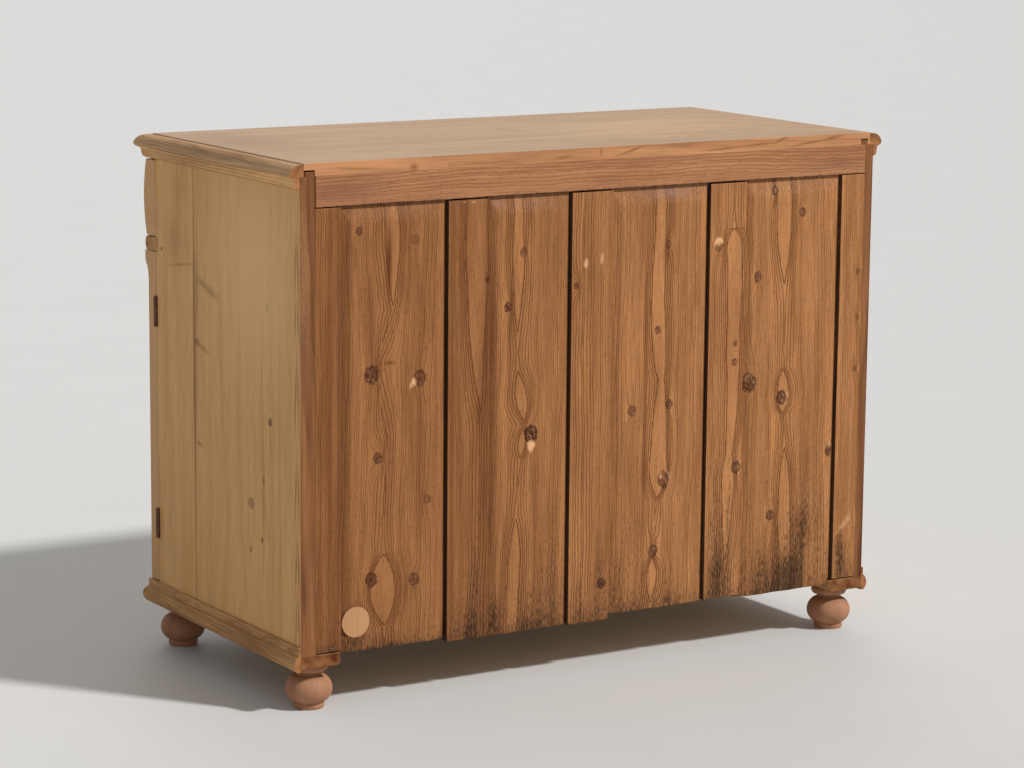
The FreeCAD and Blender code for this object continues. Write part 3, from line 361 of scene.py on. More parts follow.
def with_age(tree, wood, late, grain, patches, speck):
    """The back's bare wood with the pits, tone, mould, dust and chips that its fields place, with a painted
    shade that darkens boards towards the right stile, painted shade in recesses and by open joints, and a
    painted sheen on the upper bevels.
    """
    c = colours()
    # Pits of about a millimetre pepper the wood.
    pit = grained(tree, grain, PITS, 2.0)
    pit = put(tree, RANGE, {0: pit, 1: 0.58, 2: 0.75, 3: 0.0, 4: 0.45})
    wood = put(tree, MIX, {0: pit, 6: wood, 7: late}, **BLEND)
    # The tone field darkens each whole board by its shade, a painted shade for the key light falling off
    # across the back, and adds the listed tones.
    tone = put(tree, FIELD, {}, out="Fac", attribute_name="tone")
    tone = put(tree, MATH, {0: tone, 1: 0.85}, operation="MULTIPLY", use_clamp=True)
    wood = put(tree, MIX, {0: tone, 6: wood, 7: late}, **BLEND)
    # Mould sits in short dashes along the grain, the closer the wetter the wood, over a dark wash. The same
    # field holds a painted shade deep under the face and on the wall beside an open joint.
    damp_and_shade = put(tree, FIELD, {}, out="Fac", attribute_name="stain")
    share = put(tree, RANGE, {0: patches, 1: 0.3, 2: 0.7, 3: 0.7, 4: 1.3})
    damp_and_shade = put(tree, MATH, {0: damp_and_shade, 1: share}, operation="MULTIPLY")
    dash = grained(tree, grain, DASHES, 2.0)
    mould = put(tree, MATH, {0: damp_and_shade, 1: 0.31, 2: dash}, operation="MULTIPLY_ADD")
    mould = put(tree, RANGE, {0: mould, 1: 0.56, 2: 0.96, 3: 0.0, 4: 0.85})
    wash = put(tree, RANGE, {0: damp_and_shade, 1: 0.0, 2: 2.2, 3: 0.0, 4: 0.5})
    black = put(tree, MATH, {0: mould, 1: wash}, operation="MAXIMUM")
    wood = put(tree, MIX, {0: black, 6: wood, 7: tuple(c.stain)}, **BLEND)
    # Dust and a painted sheen of the room's light grey the upper bevels.
    dust = put(tree, FIELD, {}, out="Fac", attribute_name="dust")
    share = put(tree, RANGE, {0: speck, 1: 0.3, 2: 0.7, 3: 0.25, 4: 1.0})
    dust = put(tree, MATH, {0: dust, 1: share}, operation="MULTIPLY", use_clamp=True)
    wood = put(tree, MIX, {0: dust, 6: wood, 7: tuple(c.dust)}, **BLEND)
    chip = put(tree, FIELD, {}, out="Fac", attribute_name="chip")
    chip = put(tree, MATH, {0: speck, 1: 0.8, 2: chip}, operation="MULTIPLY_ADD")
    chip = put(tree, RANGE, {0: chip, 1: 0.75, 2: 1.2, 3: 0.0, 4: 0.9})
    return put(tree, MIX, {0: chip, 6: wood, 7: tuple(c.chip)}, **BLEND)


# Pine shows a pale early wood and a thin dark late line in every year's growth. The lines run straight near
# a board's edges and close to arches and lenses over its heart. The field "grain" holds each point's place
# in its tree, two distances from the pith and one along the trunk, so every stick has its own run of grain.
def pine(name, early, late, ring=1.0, line=0.75, streak=0.25, patch=0.35, rough=0.6, relief=0.25,
         gloss=0.25, knots=0.0, aged=False, edge=0.5, spots=(), smears=(), bare=None, dirt_and_shade=0.25):
    """Old pine, with the strength of each thing that the eye sees in it."""
    material = new_material(name)
    if material is None:
        return bpy.data.materials[name]
    tree = material.node_tree
    c = colours()
    early, late = tuple(early), tuple(late)
    grain = put(tree, FIELD, {}, out="Vector", attribute_name="grain")
    # The fibres are some 1.5 mm wide, coarser than real ones, so that they show in the render.
    fibre = sizes().fibre
    fibres = grained(tree, grain, (fibre, fibre, FIBRE_LONG), 3.0, 0.6)
    patches = grained(tree, grain, PATCHES, 3.0)
    speck = grained(tree, grain, SPECKS, 4.0, 0.7)
    if aged:
        rings, pace, near, dark = written_rings(tree, speck)
    else:
        rings, pace, near, dark = grown_rings(tree, grain, sizes().ring * ring, knots, spots)
    lines, crisp, heart = year_lines(tree, rings, pace)

    # Old wood is not one colour: patches lean to the late wood's hue, and a bare back edge leans further,
    # from dirt and, on the sides, from a painted shade like the one on the back's right stile.
    old = put(tree, FIELD, {}, out="Fac", attribute_name="old")
    pale = put(tree, MIX, {0: old, 6: early, 7: tuple(bare or c.back_early)}, **BLEND)
    deep = put(tree, MIX, {0: old, 6: late, 7: tuple(c.back_late)}, **BLEND)
    lean = put(tree, RANGE, {0: patches, 1: 0.35, 2: 0.75, 3: 0.0, 4: patch})
    lean = put(tree, MATH, {0: old, 1: dirt_and_shade, 2: lean}, operation="MULTIPLY_ADD")
    wood = put(tree, MIX, {0: lean, 6: pale, 7: deep}, **BLEND)
    shade = put(tree, RANGE, {0: fibres, 1: 0.3, 2: 0.7, 3: 1.0 - streak, 4: 1.0 + 0.4 * streak})
    wood = put(tree, VECTOR, {0: wood, "Scale": shade}, operation="SCALE")
    drawn = put(tree, MATH, {0: lines, 1: line}, operation="MULTIPLY")
    wood = put(tree, MIX, {0: drawn, 6: wood, 7: deep}, **BLEND)
    if aged:
        bold = put(tree, MATH, {0: heart, 1: crisp}, operation="MULTIPLY")
        bold = put(tree, MATH, {0: bold, 1: 0.16}, operation="MULTIPLY")
        wood = put(tree, MIX, {0: bold, 6: wood, 7: tuple(c.knot_heart)}, **BLEND)
    if near:
        wood = with_knots(tree, wood, near, dark, speck)
    wood = with_smears(tree, wood, smears, speck)
    if aged:
        wood = with_age(tree, wood, late, grain, patches, speck)

    # Handling has darkened some of each edge.
    worn = put(tree, FIELD, {}, out="Fac", attribute_name="edge")
    rubbed = put(tree, RANGE, {0: patches, 1: 0.4, 2: 0.6, 3: 0.0, 4: edge})
    rubbed = put(tree, MATH, {0: rubbed, 1: worn}, operation="MULTIPLY")
    wood = put(tree, MIX, {0: rubbed, 6: wood, 7: deep}, **BLEND)
    dull = put(tree, RANGE, {0: fibres, 1: 0.3, 2: 0.7, 3: rough - 0.08, 4: rough + 0.1})
    height = put(tree, MATH, {0: lines, 1: 0.6, 2: fibres}, operation="MULTIPLY_ADD")
    bump = put(tree, "ShaderNodeBump", {
        "Strength": relief, "Distance": BUMP_DEPTH, "Height": height}, out="Normal")
    shader = put(tree, "ShaderNodeBsdfPrincipled", {
        "Base Color": wood, "Roughness": dull, "Specular IOR Level": gloss, "Normal": bump})
    put(tree, "ShaderNodeOutputMaterial", {"Surface": shader})
    return material


# The back's boards were never stained: reddish brown with bold dark lines, raised by wear.
def back_pine():
    c = colours()
    return pine("Pine, bare and aged on the back", c.back_early, c.back_late, line=0.95, streak=0.36,
                patch=0.42, rough=0.7, relief=0.8, gloss=0.06, aged=True)


# The top rail is redder and its lines are fainter.
def rail_pine():
    c = colours()
    return pine("Pine, bare and reddened on the rail", c.rail_early, c.rail_late, line=0.75, streak=0.3,
                patch=0.4, rough=0.68, relief=0.7, gloss=0.08, aged=True)


# Knots and soft marks on the sides, in millimetres: (which side, Y, Z, half sizes along Y and Z, tilt in
# degrees, darkness, bleached below zero).
SIDE_KNOTS = (
    (1, 184, 640, 3, 6, 0, 0.5), (1, 192, 458, 6, 6, 0, 0.6), (1, 163, 260, 2.5, 4, 0, 0.8),
    (1, 169, 358, 3, 6, 0, 0.4),
    (1, 124, 237, 2.5, 4, 0, 0.5), (1, 125, 314, 9, 9, 0, 0.25), (1, -200, 690, 2.5, 3, 0, 0.7),
    (-1, 120, 600, 8, 8, 0, 0.5), (-1, 40, 300, 6, 7, 0, 0.5), (-1, -150, 480, 7, 7, 0, 0.6),
    (-1, 210, 250, 4, 6, 0, 0.5))
SIDE_SMEARS = (
    (1, -78.5, 480, 2.5, 420, 0, 0.8), (1, -78.5, 500, 5, 120, 0, 0.4), (1, 225, 480, 2, 380, 0, 0.25),
    (1, 165, 480, 4, 330, 0, 0.2), (1, 20, 480, 6, 380, 0, 0.15), (1, 192, 420, 5, 40, 0, 0.25),
    (1, 169, 330, 4, 60, 0, 0.3),
    (1, -62, 380, 12, 3.5, 15, 0.7), (1, -48, 543, 26, 4, 15, 0.5), (1, -68, 550, 8, 7, 15, 0.75),
    (1, -16, 640, 32, 8, 15, 0.6),
    (1, -50, 652, 18, 6, 10, 0.5), (1, -150, 712, 40, 40, 0, 0.3), (1, -125, 672, 40, 2.5, -8, 0.45),
    (1, -150, 860, 120, 10, 0, 0.35), (1, 60, 862, 180, 9, 0, 0.3), (1, 130, 700, 140, 170, 0, -0.65),
    (1, -74, 560, 10, 240, 0, 0.35), (1, -68, 640, 12, 60, 0, 0.3), (1, -130, 800, 30, 40, 0, 0.2),
    (-1, -78.5, 480, 2.5, 420, 0, 0.75), (-1, 60, 420, 6, 300, 0, 0.2), (-1, 220, 560, 4, 300, 0, 0.3),
    (-1, 90, 596, 40, 6, 20, 0.4))
SIDE_FACE = 558
MARK_DEPTH = 18
# Heights where the side's bold lines close to an arch beside its back edge, and how far each runs down.
SIDE_ARCHES = ((767, 110), (662, 60), (577, 130), (415, 110), (277, 80), (191, 90))
ARCH_AT, ARCH_HALF, ARCH_LEAN = 283, 4.5, 3.0
ARCH_LINE, ARCH_DARK = 2.6, 0.7


def on_side(side, y, z, wide, tall):
    """The centre and half sizes of a mark on a side's outer face, given in millimetres."""
    return (side * SIDE_FACE * MM, y * MM, z * MM), (MARK_DEPTH * MM, wide * MM, tall * MM)


# The sides were stripped and waxed: yellow, faintly lined, with a soft sheen and brown marks.
def side_pine():
    c = colours()
    spots = [on_side(*place) + (math.radians(tilt), dark) for *place, tilt, dark in SIDE_KNOTS]
    arches = tuple((1, ARCH_AT + hand * ARCH_HALF, top - run / 2, ARCH_LINE, run / 2,
                    -hand * ARCH_LEAN, ARCH_DARK)
                   for top, run in SIDE_ARCHES for hand in (-1, 1))
    smears = [on_side(*place) + (X, math.radians(tilt), dark)
              for *place, tilt, dark in SIDE_SMEARS + arches]
    # The sides' bare back edges lean far to the back's dark wood: dirt, and a painted shade like the one on
    # the back's right stile.
    return pine("Pine, stripped and waxed on the sides", c.side_early, c.side_late, ring=1.1, line=0.6,
                streak=0.24, patch=0.45, rough=0.52, relief=0.25, gloss=0.16, dirt_and_shade=0.58,
                spots=spots, smears=smears)


# Soft marks of the top, in millimetres: on its face (X, Y, half sizes along X and Y, tilt in degrees,
# strength) and on its back edge (X, Z, half sizes along X and Z, tilt, strength).
TOP_MARKS = (
    (353, -68, 38, 4, 5, 0.76), (261, -4, 4, 30, -6, 0.66), (-13, -28, 5, 38, -16, 0.85),
    (-257, -78, 18, 7, 27, 0.85),
    (7, 200, 14, 5, 27, 0.57), (240, 197, 50, 5, -2, 0.47), (-143, -157, 60, 6, 7, 0.47),
    (-390, 38, 110, 8, 3, 0.47),
    (480, -60, 80, 200, 0, 0.38), (-260, 40, 250, 150, 0, -0.2), (120, 90, 160, 7, 2, 0.38),
    (400, 110, 90, 9, -3, 0.38), (-300, 160, 130, 10, 2, 0.34), (60, -190, 200, 8, 1, 0.38))
EDGE_MARKS = (
    (355, 865, 7, 6, 0, 0.9), (75, 867, 17, 3, -4, 0.7), (2, 873, 3, 7, 0, 0.8),
    (-58, 872, 27, 2.2, -15, 0.9),
    (-155, 875, 26, 2.5, 2, 0.6), (-245, 866, 42, 2, -3, 0.9), (-317, 870, 32, 2, -3, 0.9),
    (-363, 876, 17, 2.2, -18, 0.9),
    (-422, 868, 33, 2, -6, 0.9), (-470, 874, 17, 3, -9, 0.9), (200, 866, 60, 2, -2, 0.5),
    (460, 868, 40, 2.5, 3, 0.6))
SMEAR_DEEP = 6 * MM


# The top was stripped and rubbed by use: greyed, almost without lines, with a soft sheen.
def top_pine():
    c = colours()
    smears = [((x * MM, y * MM, CAD_BOX[1][2]), (wide * MM, deep * MM, SMEAR_DEEP),
               Z, math.radians(tilt), dark) for x, y, wide, deep, tilt, dark in TOP_MARKS]
    smears += [((x * MM, CAD_BOX[1][1], z * MM), (wide * MM, SMEAR_DEEP, tall * MM),
                Y, math.radians(tilt), dark) for x, z, wide, tall, tilt, dark in EDGE_MARKS]
    return pine("Pine, stripped and worn on the top", c.top_early, c.top_late, ring=1.3, line=0.35,
                streak=0.2, patch=0.4, rough=0.5, relief=0.2, knots=7.0, bare=tuple(c.edge_early),
                dirt_and_shade=0.0, smears=smears)


# Painted shadow lines along the steps of the mouldings on the sides, in millimetres: height, distance out
# from the middle, strength. Their places along the side and half sizes are the same for all.
BED_SHADOW_LINES = ((841, 562, 0.7), (846, 566, 0.5), (852, 567, 0.65), (857, 573, 0.5))
BASE_SHADOW_LINES = ((97, 566, 0.75), (91, 570, 0.45), (85, 570, 0.35), (78, 568, 0.5))
LINES_AT = 30 * MM
LINES_REACH = (9 * MM, 300 * MM, 0.9 * MM)


def along_sides(lines):
    """The painted shadow lines as smears on the left and right mouldings."""
    return [((hand * x * MM, LINES_AT, z * MM), LINES_REACH, X, 0.0, dark)
            for z, x, dark in lines for hand in (-1, 1)]


# Wax and dirt have browned the mouldings: uneven, dull, with painted shadow lines along the quirks.
def moulding_pine():
    c = colours()
    return pine("Pine, browned in the mouldings", c.moulding_early, c.moulding_late, line=0.6, streak=0.32,
                patch=0.6, rough=0.68, relief=0.4, gloss=0.14, edge=0.8, smears=along_sides(BASE_SHADOW_LINES))


# Hands have greyed the nosing: matt and streaky.
def nosing_pine():
    c = colours()
    return pine("Pine, greyed by handling on the nosing", c.nosing_early, c.moulding_late, line=0.35,
                streak=0.36, patch=0.6, rough=0.76, relief=0.5, gloss=0.06, edge=0.6)


# The bed moulding is sheltered and so paler, with painted shadow lines along the steps of its profile.
def bed_pine():
    c = colours()
    return pine("Pine, paler and cracked under the nosing", c.bed_early, c.moulding_late, line=0.2,
                streak=0.3, patch=0.45, rough=0.62, relief=0.5, gloss=0.14, edge=1.0,
                smears=along_sides(BED_SHADOW_LINES))


# The base runners show dirty end grain at the back.
def runner_pine():
    c = colours()
    return pine("Pine, dirty at the ends of the runners", c.moulding_early, c.moulding_late, line=0.6,
                streak=0.3, patch=0.6, rough=0.7, relief=0.4, gloss=0.1, dirt_and_shade=0.5)


# Feet and knobs were turned: close reddish grain, smooth, with a little sheen.
def turned_pine():
    c = colours()
    return pine("Pine, turned and handled", c.turned_early, c.turned_late, ring=0.8, line=0.3,
                streak=0.16, patch=0.5, rough=0.62, relief=0.2)


# The front is stripped and waxed like the sides, smoother and a little darker.
def front_pine():
    c = colours()
    return pine("Pine, stripped and waxed on the front", c.front_early, c.front_late, line=0.5,
                streak=0.18, patch=0.35, rough=0.48, relief=0.2, knots=7.0)


# Wood inside stayed bare and clean: pale and matt.
def inner_pine():
    c = colours()
    return pine("Pine, bare inside", c.inner_early, c.inner_late, line=0.45, streak=0.2, patch=0.3,
                rough=0.66, relief=0.3, knots=6.0, dirt_and_shade=0.5)


# The plug is newer than the panel round it: pale and plain.
def plug_pine():
    c = colours()
    return pine("Pine, freshly cut plug", c.plug_early, c.plug_late, ring=0.7, line=0.35, streak=0.15,
                patch=0.3, rough=0.6, relief=0.2)


BLOOM_SIZE = 9 * MM
GRIT_DEPTH = 0.2 * MM


def metal(name, bright, bloom, amount, rough, grit, metallic=1.0):
    """A metal that was cast or forged, left to oxidise and handled: uneven, with a bloom in patches."""
    material = new_material(name)
    if material is None:
        return bpy.data.materials[name]
    tree = material.node_tree
    place = put(tree, "ShaderNodeTexCoord", {}, out="Object")
    coarse = put(tree, NOISE, {"Vector": place, "Scale": 1 / BLOOM_SIZE, "Detail": 4.0})
    fine = put(tree, NOISE, {"Vector": place, "Scale": 1 / grit, "Detail": 3.0})
    cover = put(tree, RANGE, {0: coarse, 1: 0.45, 2: 0.65, 3: 0.0, 4: amount})
    colour = put(tree, MIX, {0: cover, 6: tuple(bright), 7: tuple(bloom)}, **BLEND)
    dull = put(tree, RANGE, {0: fine, 3: rough - 0.1, 4: rough + 0.15})
    bump = put(tree, "ShaderNodeBump", {
        "Strength": 0.3, "Distance": GRIT_DEPTH, "Height": fine}, out="Normal")
    shader = put(tree, "ShaderNodeBsdfPrincipled", {
        "Base Color": colour, "Metallic": metallic, "Roughness": dull, "Normal": bump})
    put(tree, "ShaderNodeOutputMaterial", {"Surface": shader})
    return material


# Forged iron under a skin of oxide: dark brown and dull, rusty in patches, with little of metal's shine.
def old_iron():
    c = colours()
    return metal("Forged iron, oxidised", c.iron, c.rust, 0.8, 0.55, 0.8 * MM, metallic=0.35)


# Rolled steel that has dulled: grey, with darker patches.
def lock_steel():
    c = colours()
    return metal("Sheet steel, dull", c.steel, c.iron, 0.5, 0.42, 0.5 * MM)


# Stamped brass that has aged: yellow-brown, with brown in patches.
def old_brass():
    c = colours()
    return metal("Sheet brass, aged", c.brass, c.rust, 0.45, 0.36, 0.5 * MM)


def shells(node):
    """The node's solids, each as merged points and faces."""
    mesh = frame["nodes"][node].data
    number, ids = {}, []
    for vertex in mesh.vertices:
        key = tuple(round(value / MERGE) for value in vertex.co)
        ids.append(number.setdefault(key, len(number)))
    places = np.array(list(number)) * MERGE
    found, faces, unmatched = [], [], set()
    for polygon in mesh.polygons:
        loop = [ids[i] for i in polygon.vertices]
        if len(set(loop)) < 3:
            continue
        faces.append(loop)
        for edge in zip(loop, loop[1:] + loop[:1]):
            if edge[::-1] in unmatched:
                unmatched.remove(edge[::-1])
            else:
                unmatched.add(edge)
        if not unmatched:
            used = sorted({i for face in faces for i in face})
            local = {old: new for new, old in enumerate(used)}
            found.append((places[used], [[local[i] for i in face] for face in faces]))
            faces = []
    if faces:
        raise RuntimeError(f"{node} is not made of closed solids")
    return found


def body_of(node):
    return frame["nodes"][node].parent.name.split(":", 1)[1]


def show(name, mesh, material, slot, *nodes):
    """Puts a finished mesh in the scene in the place of its CAD nodes."""
    mesh.materials.clear()
    mesh.materials.append(material)
    piece = bpy.data.objects.new(name, mesh)
    bpy.context.scene.collection.objects.link(piece)
    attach(piece, body_of(nodes[0]))
    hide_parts(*nodes)
    return piece


def dress(node, material):
    """Gives a CAD node that keeps its own mesh a better material."""
    mesh = frame["nodes"][node].data
    mesh.materials.clear()
    mesh.materials.append(material)


def write_field(mesh, name, values):
    """Stores one number, or one place, for each point of a mesh."""
    values = np.asarray(values, np.float32)
    kind = "FLOAT_VECTOR" if values.ndim == 2 else "FLOAT"
    field = mesh.attributes.new(name, kind, "POINT")
    field.data.foreach_set("vector" if values.ndim == 2 else "value", values.ravel())


def islands(bm):
    """The connected groups of a bmesh's points."""
    seen, groups = set(), []
    for start in bm.verts:
        if start in seen:
            continue
        group, ahead = [], [start]
        seen.add(start)
        while ahead:
            vertex = ahead.pop()
            group.append(vertex)
            for edge in vertex.link_edges:
                other = edge.other_vert(vertex)
                if other not in seen:
                    seen.add(other)
                    ahead.append(other)
        groups.append(group)
    return groups


SHARP = math.radians(35)
SMOOTH = math.radians(20)
LEVEL = math.radians(0.5)
LONG_EDGE = 20 * MM
# A face with more area than this to a length of its edge is wide, and is shaded flat.
FLAT_WIDTH = 4 * MM
# A face that looks back, this close to the cupboard's back, was never finished.
LOOKS_BACK = 0.7
BARE_DEPTH = 2 * MM
# The pith's depth under a stick's face in metres, the most that the grain leans, and the length of trunk
# in metres that sticks are cut from.
PITH_DEPTH = (0.02, 0.06)
GRAIN_LEAN = 0.05
TRUNK = 9.0


def worn_solids(node, arris):
    """A node's solids in one bmesh, their long sharp edges rounded and marked as worn."""
    bm = bmesh.new()
    for points, faces in shells(node):
        verts = [bm.verts.new(point) for point in points]
        for face in faces:
            bm.faces.new([verts[i] for i in face])
    worn = bm.faces.layers.float.new("edge")
    if arris:
        bmesh.ops.dissolve_limit(bm, angle_limit=LEVEL, verts=bm.verts[:], edges=bm.edges[:])
        sharp = [edge for edge in bm.edges
                 if len(edge.link_faces) == 2 and edge.is_convex and edge.calc_length() > LONG_EDGE
                 and edge.calc_face_angle() > SHARP]
        made = bmesh.ops.bevel(bm, geom=sharp, offset=arris, segments=2, profile=0.5,
                               affect="EDGES", clamp_overlap=True)
        for face in made["faces"]:
            face[worn] = 1.0
    return bm


def run_grain(bm, node, along):
    """Gives every stick its own run of grain, along its longest side unless an axis is named."""
    grain = bm.verts.layers.float_vector.new("grain")
    luck = np.random.default_rng(sum(map(ord, node)))
    for group in islands(bm):
        places = np.array([vertex.co for vertex in group])
        low, high = places.min(0), places.max(0)
        run = int(np.argmax(high - low)) if along is None else along
        across = [axis for axis in range(3) if axis != run]
        across.sort(key=lambda axis: low[axis] - high[axis])
        wide = high[across[0]] - low[across[0]]
        pith = (low + high)[across[0]] / 2 + wide * luck.uniform(-0.5, 0.5)
        deep = luck.uniform(*PITH_DEPTH)
        lean = luck.uniform(-GRAIN_LEAN, GRAIN_LEAN)
        start = luck.uniform(0.0, TRUNK)
        for vertex, place in zip(group, places):
            length = place[run] - low[run]
            vertex[grain] = (place[across[0]] - pith,
                             place[across[1]] - low[across[1]] + deep + lean * length,
                             length + start)


def timber_mesh(node, arris=None, along=None, old=1.0):
    """A copy of a wooden node with worn edges, whose every stick has its own run of grain."""
    bm = worn_solids(node, sizes().arris if arris is None else arris)
    aged = bm.faces.layers.float.new("old")
    bm.normal_update()
    for face in bm.faces:
        if face.normal.y > LOOKS_BACK and face.calc_center_median().y > CAD_BOX[1][1] - BARE_DEPTH:
            face[aged] = old
    run_grain(bm, node, along)
    bm.normal_update()
    narrow = [face.calc_area() < FLAT_WIDTH * face.calc_perimeter() for face in bm.faces]
    mesh = bpy.data.meshes.new(node)
    bm.to_mesh(mesh)
    bm.free()
    mesh.set_sharp_from_angle(angle=SMOOTH)
    mesh.polygons.foreach_set("use_smooth", narrow)
    return mesh


def timber(node, material, slot, **options):
    """Puts a worn copy of a wooden node in its place."""
    return show(node + "_timber", timber_mesh(node, **options), material, slot, node)
